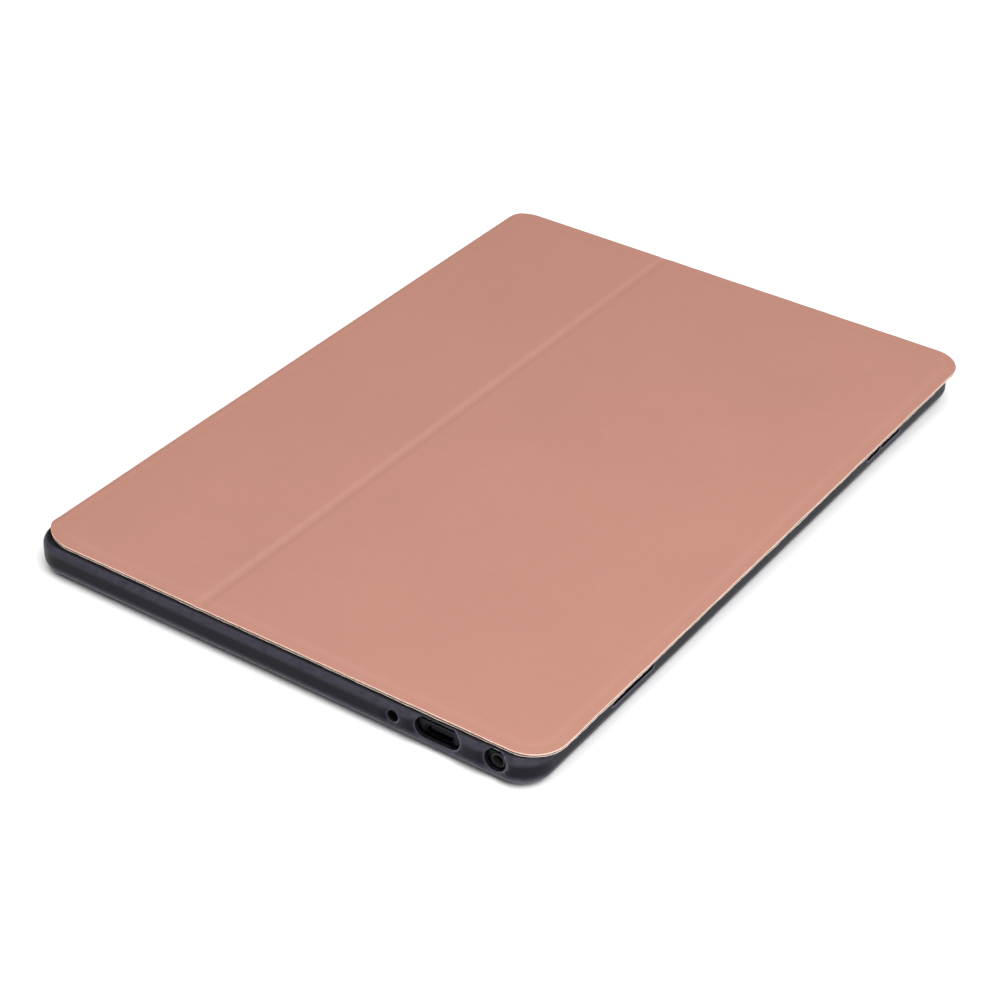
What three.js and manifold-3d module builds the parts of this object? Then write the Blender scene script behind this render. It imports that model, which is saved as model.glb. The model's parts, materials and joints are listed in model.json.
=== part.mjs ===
// Tablet computer closed in its folio case. A soft tray grips the tablet, a leather back is set
// into the tray, and a spine strip joins it to a cover of two panels that lies over the screen.
// Millimetres. +Z is up, the ports face -Y, the spine is at -X and the keys are at +X.
// The origin is the centre of the underside, where the case lies on a table.
import * as THREE from "three";
import { mergeVertices } from "three/addons/utils/BufferGeometryUtils.js";
import Module from "manifold-3d";

const wasm = await Module();
wasm.setup();

// Driving dimensions
const GAP = 0.3; // running clearance between neighbouring pieces
const CASE = { width: 174.4, length: 247.6 };
const COVER = { length: 246.2, radius: 10.5, under: 11.1, top: 12.4, lining: 0.3, board: 0.6 };
const CREASE_X = -24.8; // where the cover folds
const BORDER = 4; // leather border outside the cover's boards
const BEND = 4.5; // outer radius of the leather at both ends of the spine
const STRIP = { thickness: 0.9, length: 230 };
const TRAY = { width: 170.8, length: 246.2, radius: 9.6, wall: 2, under: 0.3, top: 10.8 };
const TRAY_ROUND = { bottom: 4.4, top: 2.4 };
const LIP = 1.4; // how far the tray's rim reaches over the glass
const BACK = { width: 151, length: 230, radius: 8, thickness: 1 };
const TABLET = { width: 166.4, length: 241.8, radius: 7.4, under: 2.3, top: 9.8, round: 2 };
const SHELL = { wall: 1.2, floor: 1, rim: 8.6 };
const GLASS_UNDER = 8.9;
const FRAME = { under: 6.8, plate: 7.6, rail: 3 };
const PANEL = { width: 155, length: 205 };
const BOARD_Z = 4.2; // underside of the main board
const BOARD_THICKNESS = 0.8;
const PORT_Z = 6.05; // middle of the tablet's thickness
const USB = { x: 55.3, width: 9, height: 3.2, window: [14.2, 6.2] };
const JACK = { x: 73.3, bore: 3.5, nozzle: 4.2, window: 6.6 };
const MIC = { x: 41.2, hole: 1.4, window: 3.6 };
const PORT_WINDOW_Z = 7;
const SIDE_WINDOW_Z = [5.6, 9.8];
const POWER = { y: 65.3, length: 6.2, window: [61.3, 69.3] };
const VOLUME = { y: 76.7, length: 10.6, window: [70.6, 82.9] };
const KEY = { z: 7, height: 2 };
const CARD = { y: -74.4, z: 6.7, door: [15.6, 1.7], window: [-84.7, -64.1] };
const CAMERA = { y: 105, lens: 7.4, window: 12 };
const SPEAKER_X = 48;
const SCREWS = [[-72, 112], [0, 114], [72, 112], [-72, -112], [-10, -112], [22, -112]];

// The tray and the tablet share one centre, and the cover has another: it overhangs the tray
// at the far end and at the free side, and falls short of it at the port end.
const TRAY_X = (TRAY.width - CASE.width) / 2 + STRIP.thickness + GAP;
const TRAY_Y = (TRAY.length - CASE.length) / 2;
const COVER_Y = (CASE.length - COVER.length) / 2;

const finish = (color, roughness, metalness = 0) => ({ color, roughness, metalness });
const LEATHER = finish(0xcd9482, 0.62);
const LINING = finish(0x8c837d, 0.95);
const GREYBOARD = finish(0x8f8b84, 0.9);
const SOFT_BLACK = finish(0x2b2b30, 0.5);
const ALUMINIUM = finish(0x6f7378, 0.35, 1);
const STEEL = finish(0xb5b8bb, 0.3, 1);
const BLACK_GLASS = finish(0x0b0c0e, 0.06);
const DARK_PLASTIC = finish(0x1c1d20, 0.55);
const CIRCUIT = finish(0x12452f, 0.5);
const FLEX = finish(0xb4702a, 0.45);
const CELL = finish(0x26282b, 0.4);
const GOLD = finish(0xc9a24a, 0.3, 1);

// Every coordinate lies on a grid of a thousandth of a millimetre, so faces that touch share
// the very same numbers.
function solid(geometry) {
  geometry.deleteAttribute("normal");
  geometry.deleteAttribute("uv");
  const place = geometry.getAttribute("position");
  for (let i = 0; i < place.array.length; i++)
    place.array[i] = Math.round(place.array[i] * 1000) / 1000;
  const merged = mergeVertices(geometry, 1e-4);
  return new wasm.Manifold(
    new wasm.Mesh({
      numProp: 3,
      vertProperties: merged.attributes.position.array,
      triVerts: new Uint32Array(merged.index.array),
    }),
  );
}

function geometryOf(made) {
  const mesh = made.getMesh();
  const geometry = new THREE.BufferGeometry()
    .setAttribute("position", new THREE.BufferAttribute(mesh.vertProperties, 3))
    .setIndex(new THREE.BufferAttribute(mesh.triVerts, 1));
  geometry.computeVertexNormals();
  return geometry;
}

const box = (x, y, z) =>
  solid(
    new THREE.BoxGeometry(x[1] - x[0], y[1] - y[0], z[1] - z[0]).translate(
      (x[0] + x[1]) / 2,
      (y[0] + y[1]) / 2,
      (z[0] + z[1]) / 2,
    ),
  );

// A box of a given size about a centre in X and Y, between two heights.
const block = (x, y, width, length, z) =>
  box([x - width / 2, x + width / 2], [y - length / 2, y + length / 2], z);

const around = (middle, size) => [middle - size / 2, middle + size / 2];

function roundedRectangle(width, length, radius) {
  const [x, y] = [width / 2 - radius, length / 2 - radius];
  const outline = new THREE.Shape();
  outline.absarc(x, y, radius, 0, Math.PI / 2);
  outline.absarc(-x, y, radius, Math.PI / 2, Math.PI);
  outline.absarc(-x, -y, radius, Math.PI, 1.5 * Math.PI);
  outline.absarc(x, -y, radius, 1.5 * Math.PI, 2 * Math.PI);
  outline.closePath();
  return outline;
}

// An upright plate with rounded corners, and with both of its edges rounded by the same radius.
// Small radii need only a few flats.
function plate(width, length, radius, z, round = 0) {
  const bevelSegments = round > 1 ? 3 : 1;
  const bevel = round
    ? { bevelThickness: round, bevelSize: round, bevelOffset: -round, bevelSegments }
    : { bevelEnabled: false };
  const shape = roundedRectangle(width, length, radius);
  const depth = z[1] - z[0] - 2 * round;
  const settings = { depth, curveSegments: radius > 5 ? 5 : 2, steps: 1, ...bevel };
  return solid(new THREE.ExtrudeGeometry(shape, settings).translate(0, 0, z[0] + round));
}

// The same plate with one radius below and another above: each is the overlap of two plates,
// of which one is taller and the other deeper.
function body(width, length, radius, z, below, above) {
  const low = plate(width, length, radius, [z[0], z[1] + 2 * below + 1], below);
  const high = plate(width, length, radius, [z[0] - 2 * above - 1, z[1]], above);
  return low.intersect(high);
}

// A round bar along an axis, from one end to the other, tapered if the two radii differ.
function bar(axis, radius, centre, ends, segments = 16, endRadius = radius) {
  const length = ends[1] - ends[0];
  const geometry = new THREE.CylinderGeometry(endRadius, radius, length, segments);
  geometry.translate(0, (ends[0] + ends[1]) / 2, 0);
  if (axis === "z") geometry.rotateX(Math.PI / 2).translate(centre[0], centre[1], 0);
  if (axis === "x") geometry.rotateZ(-Math.PI / 2).translate(0, centre[0], centre[1]);
  if (axis === "y") geometry.translate(centre[0], 0, centre[1]);
  return solid(geometry);
}

// A section drawn in X and Z, carried along Y.
function alongY(section, y) {
  const settings = { depth: y[1] - y[0], bevelEnabled: false, curveSegments: 8 };
  const geometry = new THREE.ExtrudeGeometry(section, settings);
  return solid(geometry.rotateX(Math.PI / 2).translate(0, y[1], 0));
}

// A slot with round ends, carried along Y.
function slotAlongY(x, z, width, height, y) {
  const outline = roundedRectangle(width, height, height / 2 - 0.01);
  return alongY(outline, y).translate([x, 0, z]);
}

const cut = (base, tools) => tools.reduce((left, tool) => left.subtract(tool), base);
const join = (pieces) => pieces.reduce((whole, piece) => whole.add(piece));

const folio = new THREE.Group();
const tray = new THREE.Group(); // holds the tray and the tablet
const cover = new THREE.Group();
tray.position.set(TRAY_X, TRAY_Y, 0);
cover.position.set(0, COVER_Y, 0);
folio.add(tray, cover);

function piece(group, name, made, look) {
  const mesh = new THREE.Mesh(geometryOf(made), new THREE.MeshStandardMaterial(look));
  mesh.name = name;
  group.add(mesh);
}

// The openings of the tray: ports at the near end, keys and cards at the free side, speakers at
// the far end and the camera underneath. Each is given from outside the case to the tablet.
const NEAR = -TRAY.length / 2;
const SIDE = TRAY.width / 2;
const nearWall = [NEAR - 1, NEAR + TRAY.wall + 0.5];
const sideWall = [SIDE - TRAY.wall - 0.5, SIDE + 1];

function portWindows() {
  const [width, height] = USB.window;
  const dish = (x, z, radius) => bar("y", radius + 1.2, [x, z], [NEAR - 1, NEAR + 1.2], 20, radius);
  return [
    slotAlongY(USB.x, PORT_WINDOW_Z, width, height, nearWall),
    bar("y", JACK.window / 2, [JACK.x, PORT_WINDOW_Z], nearWall, 20),
    bar("y", MIC.window / 2, [MIC.x, PORT_Z], nearWall, 16),
    dish(JACK.x, PORT_WINDOW_Z, JACK.window / 2),
    dish(MIC.x, PORT_Z, MIC.window / 2),
  ];
}

const sideWindow = ([low, high]) => box(sideWall, [low, high], SIDE_WINDOW_Z);

function speakerWindow(x) {
  const wall = [-NEAR - TRAY.wall - 0.5, -NEAR + 1];
  return slotAlongY(x, PORT_Z, 18, 3.4, wall);
}

function caseTray() {
  const { width, length, radius, wall, under, top } = TRAY;
  const inner = [width - 2 * wall, length - 2 * wall];
  const outer = body(width, length, radius, [under, top], TRAY_ROUND.bottom, TRAY_ROUND.top);
  const seat = [TABLET.under, TABLET.top];
  const hollow = body(...inner, radius - wall, seat, TABLET.round - 0.2, 0);
  const mouth = plate(inner[0] - 2 * LIP, inner[1] - 2 * LIP, radius - wall - LIP, [9, 12]);
  const recess = plate(
    BACK.width + 2 * GAP, BACK.length + 2 * GAP, BACK.radius + GAP, [-1, BACK.thickness]);
  const spineRecess = box([-SIDE - 1, -BACK.width / 2], around(0, BACK.length), [-1, BEND / 3]);
  return cut(outer, [
    hollow, mouth, recess, spineRecess,
    ...portWindows(),
    sideWindow(POWER.window), sideWindow(VOLUME.window), sideWindow(CARD.window),
    speakerWindow(-SPEAKER_X), speakerWindow(SPEAKER_X),
    bar("z", CAMERA.window / 2, [0, CAMERA.y], [-1, 4], 24),
  ]);
}

function leatherBack() {
  const sheet = plate(BACK.width, BACK.length, BACK.radius, [0, BACK.thickness]);
  return cut(sheet, [bar("z", CAMERA.window / 2, [0, CAMERA.y], [-1, 4], 24)]);
}

piece(tray, "case_tray", caseTray(), SOFT_BLACK);
piece(tray, "back_panel", leatherBack(), LEATHER);

// The tablet
const TABLET_SIDE = TABLET.width / 2;
const TABLET_NEAR = -TABLET.length / 2;
const FLOOR = TABLET.under + SHELL.floor;
const INSIDE = [TABLET.width - 2 * SHELL.wall, TABLET.length - 2 * SHELL.wall];

// A flange on the inner end keeps each key in, so the slot in the shell fits the cap alone.
function keySlot(key) {
  const wall = [TABLET_SIDE - SHELL.wall - 0.5, TABLET_SIDE + 1];
  const [length, height] = [key.length + 2 * GAP, KEY.height + 2 * GAP];
  return box(wall, around(key.y, length), around(KEY.z, height));
}

function rearHousing() {
  const { width, length, radius, under, round } = TABLET;
  const outer = body(width, length, radius, [under, SHELL.rim], round, 0);
  const hollow = plate(...INSIDE, radius - SHELL.wall, [FLOOR, SHELL.rim + 3], 0.5);
  const wall = [TABLET_NEAR - 1, TABLET_NEAR + SHELL.wall + 0.5];
  const farWall = [-wall[1], -wall[0]];
  const cardWall = [TABLET_SIDE - SHELL.wall - 0.5, TABLET_SIDE + 1];
  const bosses = SCREWS.map(([x, y]) => bar("z", 2.5, [x, y], [FLOOR - 0.5, FRAME.under]));
  const pads = BOARD_SCREWS.map(([x, y]) => bar("z", 2, [x, y], [FLOOR - 0.5, BOARD_Z]));
  const drilled = [...SCREWS.map((at) => [at, FRAME.under]), ...BOARD_SCREWS.map((at) => [at, BOARD_Z])];
  return cut(join([cut(outer, [hollow]), ...bosses, ...pads]), [
    slotAlongY(USB.x, PORT_Z, USB.width + 2 * GAP, USB.height + 2 * GAP, wall),
    bar("y", JACK.nozzle / 2 + GAP, [JACK.x, PORT_Z], wall),
    bar("y", MIC.hole / 2, [MIC.x, PORT_Z], wall, 10),
    keySlot(POWER), keySlot(VOLUME),
    box(cardWall, around(CARD.y, CARD.door[0] + 2 * GAP), around(CARD.z, CARD.door[1] + 0.4)),
    ...[-SPEAKER_X, SPEAKER_X].map((x) => slotAlongY(x, PORT_Z, 15, 1.6, farWall)),
    bar("z", CAMERA.lens / 2 + GAP, [0, CAMERA.y], [1, 4], 24),
    ...drilled.map(([at, top]) => bar("z", SCREW.shank / 2 + GAP, at, [FLOOR, top + 1], 12)),
  ]);
}

const SCREW = { shank: 1.6, head: 3.4, headHeight: 0.6 };
const BOARD_SCREWS = [[-66, 64], [66, 64], [-66, 92], [66, 92]];

// A machine screw whose head rests at a height, with its shank below and a cross cut in the head.
function screw(x, y, seat, depth) {
  const top = seat + SCREW.headHeight;
  const head = bar("z", SCREW.head / 2, [x, y], [seat, top], 14);
  const shank = bar("z", SCREW.shank / 2, [x, y], [seat - depth, seat + 0.1], 10);
  const crossCut = [top - 0.3, top + 1];
  return cut(join([head, shank]), [
    block(x, y, 2, 0.5, crossCut),
    block(x, y, 0.5, 2, crossCut),
  ]);
}

function midFrame() {
  const { under, plate: top, rail } = FRAME;
  const outer = [INSIDE[0] - 2 * GAP, INSIDE[1] - 2 * GAP];
  const slabOfFrame = plate(...outer, 5.9, [under, SHELL.rim]);
  const well = plate(outer[0] - 2 * rail, outer[1] - 2 * rail, 3, [top, SHELL.rim + 1]);
  const all = [under - 1, SHELL.rim + 1];
  const side = INSIDE[0] / 2;
  return cut(slabOfFrame, [
    well,
    box([30, side], [-INSIDE[1] / 2, -104], all), // above the ports
    box([77.9, side], [58, 88], all), // behind the keys
    box([58, side], [-85, -61], all), // above the card reader
    block(0, CAMERA.y, 8.6, 8.6, all),
    block(25, 97.2, 32, 1.6, all), // the display's ribbon passes here
    ...SCREWS.map(([x, y]) => bar("z", SCREW.shank / 2 + GAP, [x, y], all, 12)),
  ]);
}

piece(tray, "rear_housing", rearHousing(), ALUMINIUM);
piece(tray, "mid_frame", midFrame(), DARK_PLASTIC);

function displayGlass() {
  const { width, length, radius, top } = TABLET;
  return body(width - 0.6, length - 0.6, radius - 0.3, [GLASS_UNDER, top], 0, 0.4);
}

function displayGasket() {
  const [width, length] = [TABLET.width - 1, TABLET.length - 1];
  const z = [SHELL.rim, GLASS_UNDER];
  return cut(plate(width, length, TABLET.radius - 0.5, z), [
    plate(width - 7, length - 7, 3, [z[0] - 1, z[1] + 1]),
  ]);
}

// The display's ribbon lies on the main board and rises through the frame to the panel.
function displayRibbon() {
  const [low, high] = [BOARD_Z + BOARD_THICKNESS, FRAME.plate];
  const flat = box([12, 38], [84, 97.3], [low, low + 0.3]);
  const riser = box([12, 38], [97, 97.3], [low, high]);
  return join([flat, riser]);
}

piece(tray, "display_glass", displayGlass(), BLACK_GLASS);
piece(tray, "display_gasket", displayGasket(), DARK_PLASTIC);
piece(tray, "display_panel",
  plate(PANEL.width, PANEL.length, 1.5, [FRAME.plate, GLASS_UNDER]), BLACK_GLASS);
piece(tray, "display_ribbon", displayRibbon(), FLEX);

// Power
const CELL_TOP = 6.3;
piece(tray, "battery_left", plate(66, 150, 2, [FLOOR, CELL_TOP]).translate([-41, -21, 0]), CELL);
piece(tray, "battery_right", plate(64, 150, 2, [FLOOR, CELL_TOP]).translate([26, -21, 0]), CELL);
const BOARD_TOP = BOARD_Z + BOARD_THICKNESS;
piece(tray, "battery_ribbon",
  box([-14, -2], [54.3, 65], [BOARD_TOP, BOARD_TOP + 0.3]), FLEX);

// Main board, held by four screws
function mainBoard() {
  const sheet = block(0, 78, 148, 36, [BOARD_Z, BOARD_TOP]);
  return cut(sheet, BOARD_SCREWS.map((at) => bar("z", SCREW.shank / 2 + GAP, at, [1, 9], 12)));
}

piece(tray, "main_board", mainBoard(), CIRCUIT);
piece(tray, "processor_shield", plate(40, 25, 1, [BOARD_TOP, 5.7]).translate([-32, 78, 0]), STEEL);
piece(tray, "power_shield", plate(24, 15, 1, [BOARD_TOP, 5.7]).translate([24, 71, 0]), STEEL);
BOARD_SCREWS.forEach(([x, y], i) =>
  piece(tray, `board_screw_${i + 1}`, screw(x, y, BOARD_TOP, 1.5), STEEL));
SCREWS.forEach(([x, y], i) =>
  piece(tray, `frame_screw_${i + 1}`, screw(x, y, FRAME.plate, 3.2), STEEL));

// Ports, on a small board at the near end
const PORT_BOARD = [3.65, PORT_Z - USB.height / 2];
const INNER_NEAR = -INSIDE[1] / 2;

function usbConnector() {
  const y = [TABLET_NEAR + 0.1, TABLET_NEAR + 8];
  const shell = slotAlongY(USB.x, PORT_Z, USB.width, USB.height, y);
  const hollow = slotAlongY(USB.x, PORT_Z, USB.width - 0.6, USB.height - 0.6, [y[0] - 1, y[1] - 1]);
  const tongue = block(USB.x, y[0] + 4, 6.6, 6.4, around(PORT_Z, 0.7));
  const back = block(USB.x, y[1] - 0.7, 6.6, 1, around(PORT_Z, 2.8));
  return join([cut(shell, [hollow]), tongue, back]);
}

function headphoneJack() {
  const front = INNER_NEAR + GAP;
  const housing = box(around(JACK.x, 6), [front, front + 12], around(PORT_Z, 5));
  const nozzle = bar("y", JACK.nozzle / 2, [JACK.x, PORT_Z], [TABLET_NEAR + 0.1, front + 0.5]);
  const bore = bar("y", JACK.bore / 2, [JACK.x, PORT_Z], [TABLET_NEAR - 1, front + 11], 14);
  return cut(join([housing, nozzle]), [bore]);
}

piece(tray, "port_board", box([34, 68], [INNER_NEAR + 2.4, -104], PORT_BOARD), CIRCUIT);
piece(tray, "usb_connector", usbConnector(), STEEL);
piece(tray, "headphone_jack", headphoneJack(), DARK_PLASTIC);
piece(tray, "microphone",
  block(MIC.x, INNER_NEAR + 4.2, 4, 3, [PORT_BOARD[1], PORT_Z + 0.9]), GOLD);

// Sound and radio
[-1, 1].forEach((side) =>
  piece(tray, side < 0 ? "speaker_left" : "speaker_right",
    plate(26, 12, 1.5, [FLOOR, CELL_TOP]).translate([side * SPEAKER_X, 112.5, 0]), DARK_PLASTIC));
piece(tray, "wifi_antenna", box([-81, -79.6], [20, 58], [FLOOR, 5.6]), GOLD);
piece(tray, "mobile_antenna", box([-60, -20], [-118.6, -117.2], [FLOOR, 5.6]), GOLD);

// Cameras
function cameraModule() {
  const [low, high] = [FLOOR, FRAME.plate - 0.1];
  const base = block(0, CAMERA.y, 8, 8, [low, high - 0.8]);
  return join([base, block(0, CAMERA.y, 6, 6, [high - 0.9, high])]);
}

piece(tray, "rear_camera", cameraModule(), DARK_PLASTIC);
piece(tray, "rear_camera_lens",
  bar("z", CAMERA.lens / 2, [0, CAMERA.y], [TABLET.under, FLOOR], 24), BLACK_GLASS);
piece(tray, "front_camera", block(14, 112, 6, 6, [FRAME.plate, GLASS_UNDER]), DARK_PLASTIC);
piece(tray, "light_sensor", block(-14, 112, 3, 2, [FRAME.plate, GLASS_UNDER]), DARK_PLASTIC);

// Keys: a cap that fills its slot in the shell, a flange inside the shell, and stems that press
// the domes on the key board.
const KEY_FACE = TABLET_SIDE + 0.7;
const FLANGE_X = [TABLET_SIDE - SHELL.wall - 1.1, TABLET_SIDE - SHELL.wall - 0.4];
const STEM_END = FLANGE_X[0] - 1;
const DOME_X = [STEM_END - 0.9, STEM_END - 0.5];

function sideKey(key, stems) {
  const cap = box([FLANGE_X[0], KEY_FACE], around(key.y, key.length), around(KEY.z, KEY.height));
  const flange = box(FLANGE_X, around(key.y, key.length + 1.6), around(KEY.z, KEY.height + 1));
  const posts = stems.map((y) => bar("x", 0.8, [y, KEY.z], [STEM_END, FLANGE_X[1]], 10));
  return join([cap, flange, ...posts]);
}

const VOLUME_STEMS = [VOLUME.y - 3.2, VOLUME.y + 3.2];

function keyBoard() {
  const sheet = box([DOME_X[0] - 0.4, DOME_X[0]], [60.5, 83], around(KEY.z, 2.3));
  const domes = [POWER.y, ...VOLUME_STEMS].map((y) =>
    bar("x", 1.1, [y, KEY.z], [DOME_X[0] - 0.1, DOME_X[1]], 12, 0.7));
  return join([sheet, ...domes]);
}

piece(tray, "power_button", sideKey(POWER, [POWER.y]), ALUMINIUM);
piece(tray, "volume_rocker", sideKey(VOLUME, VOLUME_STEMS), ALUMINIUM);
piece(tray, "key_board", keyBoard(), FLEX);

// Card tray and its reader
const CARD_END = 66.5;

function cardTray() {
  const [length, height] = CARD.door;
  const door = box([TABLET_SIDE - 1, TABLET_SIDE], around(CARD.y, length), around(CARD.z, height));
  const sled = box([CARD_END, TABLET_SIDE - 0.9], around(CARD.y, 13.6), around(CARD.z, 0.7));
  return cut(join([door, sled]), [
    block(CARD_END + 6.6, CARD.y, 11, 11.6, [CARD.z - 0.05, CARD.z + 2]),
    bar("x", 0.5, [CARD.y - 7.2, CARD.z], [TABLET_SIDE - 2, TABLET_SIDE + 1], 8), // eject hole
  ]);
}

function cardReader() {
  const shell = box([CARD_END - 2, TABLET_SIDE - 2.6], around(CARD.y, 15.6), around(CARD.z, 1.7));
  const slot = box([CARD_END - GAP, TABLET_SIDE], around(CARD.y, 14.4), around(CARD.z, 1.3));
  return cut(shell, [slot]);
}

piece(tray, "card_tray", cardTray(), ALUMINIUM);
piece(tray, "card_reader", cardReader(), STEEL);

// Leather round the spine. The strip stands 0.3 off the tray. Both of its ends bend through a
// quarter turn: the lower one stays with the back, the upper one with the strip.
const OUTER = -CASE.width / 2;
const BEND_X = OUTER + BEND;

function lowerBend() {
  const inner = BEND - STRIP.thickness;
  const left = TRAY_X - BACK.width / 2 - GAP;
  const section = new THREE.Shape();
  section.moveTo(left, 0);
  section.absarc(BEND_X, BEND, BEND, 1.5 * Math.PI, Math.PI, true);
  section.absarc(BEND_X, BEND, inner, Math.PI, 1.5 * Math.PI, false);
  section.lineTo(left, STRIP.thickness);
  return alongY(section, around(TRAY_Y, BACK.length - 2 * GAP));
}

function spineStrip() {
  const inner = BEND - STRIP.thickness;
  const top = COVER.top - BEND;
  const section = new THREE.Shape();
  section.moveTo(OUTER + STRIP.thickness, BEND + GAP);
  section.lineTo(OUTER, BEND + GAP);
  section.absarc(BEND_X, top, BEND, Math.PI, Math.PI / 2, true);
  section.absarc(BEND_X, top, inner, Math.PI / 2, Math.PI, false);
  return alongY(section, around(0, STRIP.length));
}

piece(folio, "lower_hinge_leather", lowerBend(), LEATHER);
piece(folio, "spine_strip", spineStrip(), LEATHER);

// The cover: leather outside, greyboard inside it and a lining below, in two panels that meet
// at the crease.
const BOARD_UNDER = COVER.under + COVER.lining;
const BOARD_OVER = BOARD_UNDER + COVER.board;

function coverSheet(inset, z, ends) {
  const [width, length] = [CASE.width - 2 * inset, COVER.length - 2 * inset];
  const sheet = plate(width, length, COVER.radius - inset, z);
  return sheet.intersect(box(ends, around(0, COVER.length + 2), [z[0] - 1, z[1] + 1]));
}

const PANELS = {
  narrow: [BEND_X + GAP, CREASE_X - GAP / 2],
  wide: [CREASE_X + GAP / 2, CASE.width / 2 + 1],
};
const MAGNET = { x: 76, y: 60, width: 4, length: 12 };

for (const [name, ends] of Object.entries(PANELS)) {
  const pocket = [ends[0] + 1.4, ends[1] - 1.4];
  const board = [ends[0] + 1.4 + GAP, ends[1] - 1.4 - GAP];
  const leather = cut(coverSheet(0, [BOARD_UNDER, COVER.top], ends), [
    coverSheet(BORDER, [BOARD_UNDER, BOARD_OVER], pocket),
  ]);
  const { x, y, width, length } = MAGNET;
  const stiffener = cut(coverSheet(BORDER + GAP, [BOARD_UNDER, BOARD_OVER], board), [
    block(x, y, width + 2 * GAP, length + 2 * GAP, [BOARD_UNDER - 1, BOARD_OVER + 1]),
  ]);
  piece(cover, `cover_leather_${name}`, leather, LEATHER);
  piece(cover, `cover_board_${name}`, stiffener, GREYBOARD);
  piece(cover, `cover_lining_${name}`,
    coverSheet(GAP, [COVER.under, BOARD_UNDER], ends), LINING);
}
piece(cover, "sleep_magnet",
  block(MAGNET.x, MAGNET.y, MAGNET.width, MAGNET.length, [BOARD_UNDER, BOARD_OVER]), STEEL);

export default folio;
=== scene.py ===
"""The looks of a tablet computer closed in its leather folio case, built round its CAD frame.

Lengths inside the shape functions are in millimetres. +Z is up, the ports face -Y, the spine is
at -X and the keys are at +X. New pieces are surfaces worked out with numpy.
"""

import json

import bmesh
import bpy
import numpy as np
from bpy.props import FloatProperty, FloatVectorProperty, PointerProperty
from mathutils import Matrix, Vector


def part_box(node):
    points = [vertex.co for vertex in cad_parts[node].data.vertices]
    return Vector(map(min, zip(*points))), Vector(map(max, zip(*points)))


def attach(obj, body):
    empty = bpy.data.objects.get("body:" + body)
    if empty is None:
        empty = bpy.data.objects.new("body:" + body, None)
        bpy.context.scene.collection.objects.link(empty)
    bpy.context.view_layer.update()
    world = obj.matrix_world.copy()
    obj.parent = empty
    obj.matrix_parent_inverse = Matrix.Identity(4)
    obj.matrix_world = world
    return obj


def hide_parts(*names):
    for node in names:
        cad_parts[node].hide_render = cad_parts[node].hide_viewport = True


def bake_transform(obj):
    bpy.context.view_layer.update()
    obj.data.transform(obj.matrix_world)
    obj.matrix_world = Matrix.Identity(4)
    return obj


bl_info = {
    "name": "Tablet in a Leather Folio",
    "version": (1, 0, 0),
    "blender": (4, 5, 0),
    "location": "View3D > Sidebar > Folio",
    "description": "Builds the visible pieces of a tablet computer in its folio case",
    "category": "Object",
}

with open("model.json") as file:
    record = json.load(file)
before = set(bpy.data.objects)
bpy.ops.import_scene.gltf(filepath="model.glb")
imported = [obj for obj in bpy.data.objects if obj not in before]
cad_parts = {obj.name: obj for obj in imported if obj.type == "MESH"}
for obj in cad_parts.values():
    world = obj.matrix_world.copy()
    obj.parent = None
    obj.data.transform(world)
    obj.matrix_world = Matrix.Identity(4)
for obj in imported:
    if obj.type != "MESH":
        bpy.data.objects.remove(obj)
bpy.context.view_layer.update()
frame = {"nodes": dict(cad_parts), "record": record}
MM = 0.001


# ---------------------------------------------------------------- places taken from the frame


def span(*nodes):
    """Lowest and highest corners, in millimetres, of these CAD nodes taken together."""
    boxes = [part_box(node) for node in nodes]
    low = np.min([np.array(box[0]) for box in boxes], axis=0)
    high = np.max([np.array(box[1]) for box in boxes], axis=0)
    return low / MM, high / MM


def middle(*nodes):
    """Centre of these CAD nodes' common box, in millimetres."""
    low, high = span(*nodes)
    return (low + high) / 2


COVER_LOW, COVER_HIGH = span("cover_leather_narrow", "cover_leather_wide", "spine_strip")
COVER_MID = (COVER_LOW + COVER_HIGH)[:2] / 2
COVER_HALF = (COVER_HIGH - COVER_LOW)[:2] / 2
COVER_RADIUS = 10.5
COVER_CORE = COVER_HALF - COVER_RADIUS  # half lengths of the straight sides
COVER_TOP = COVER_HIGH[2]
SPINE_X = COVER_LOW[0]
CREASE_X = span("cover_leather_wide")[0][0] - 0.15
SEAM_X = CREASE_X - 3.2  # where the two pieces of the cover's leather meet
BEND = 4.5  # outer radius of the leather at both edges of the spine
BEND_CENTRE_X = SPINE_X + BEND
STRIP_HALF = 111.0  # half length of the spine's lower edge
STRIP_SEAM_Z = 6.2  # where the leather's two bends meet on the spine
DENT_XY = (82.2, -74.8)  # a small dent in the cover, by its free edge

TRAY_LOW, TRAY_HIGH = span("case_tray")
TRAY_MID = (TRAY_LOW + TRAY_HIGH)[:2] / 2
TRAY_HALF = (TRAY_HIGH - TRAY_LOW)[:2] / 2
TRAY_RADIUS = 9.6
TRAY_CORE = TRAY_HALF - TRAY_RADIUS
NEAR_WALL, FAR_WALL, SIDE_WALL = TRAY_LOW[1], TRAY_HIGH[1], TRAY_HIGH[0]

BACK_LOW, BACK_HIGH = span("back_panel")
BACK_MID, BACK_HALF = (BACK_LOW + BACK_HIGH)[:2] / 2, (BACK_HIGH - BACK_LOW)[:2] / 2
USB_X, JACK_X = middle("usb_connector")[0], middle("headphone_jack")[0]
MIC_X, CAMERA_XY = middle("microphone")[0], middle("rear_camera_lens")[:2]
TRAY_SHARP = 38  # degrees
CAMERA_HOLE = 6.0  # radius of the hole in the case for the rear camera
PORT_Z, WINDOW_Z = 6.05, 7.0


# ---------------------------------------------------------------- arithmetic of the surfaces


def ease(t):
    """0 before 0, 1 after 1, and 3t^2 - 2t^3 between them."""
    t = np.clip(t, 0, 1)
    return t * t * (3 - 2 * t)


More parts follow.
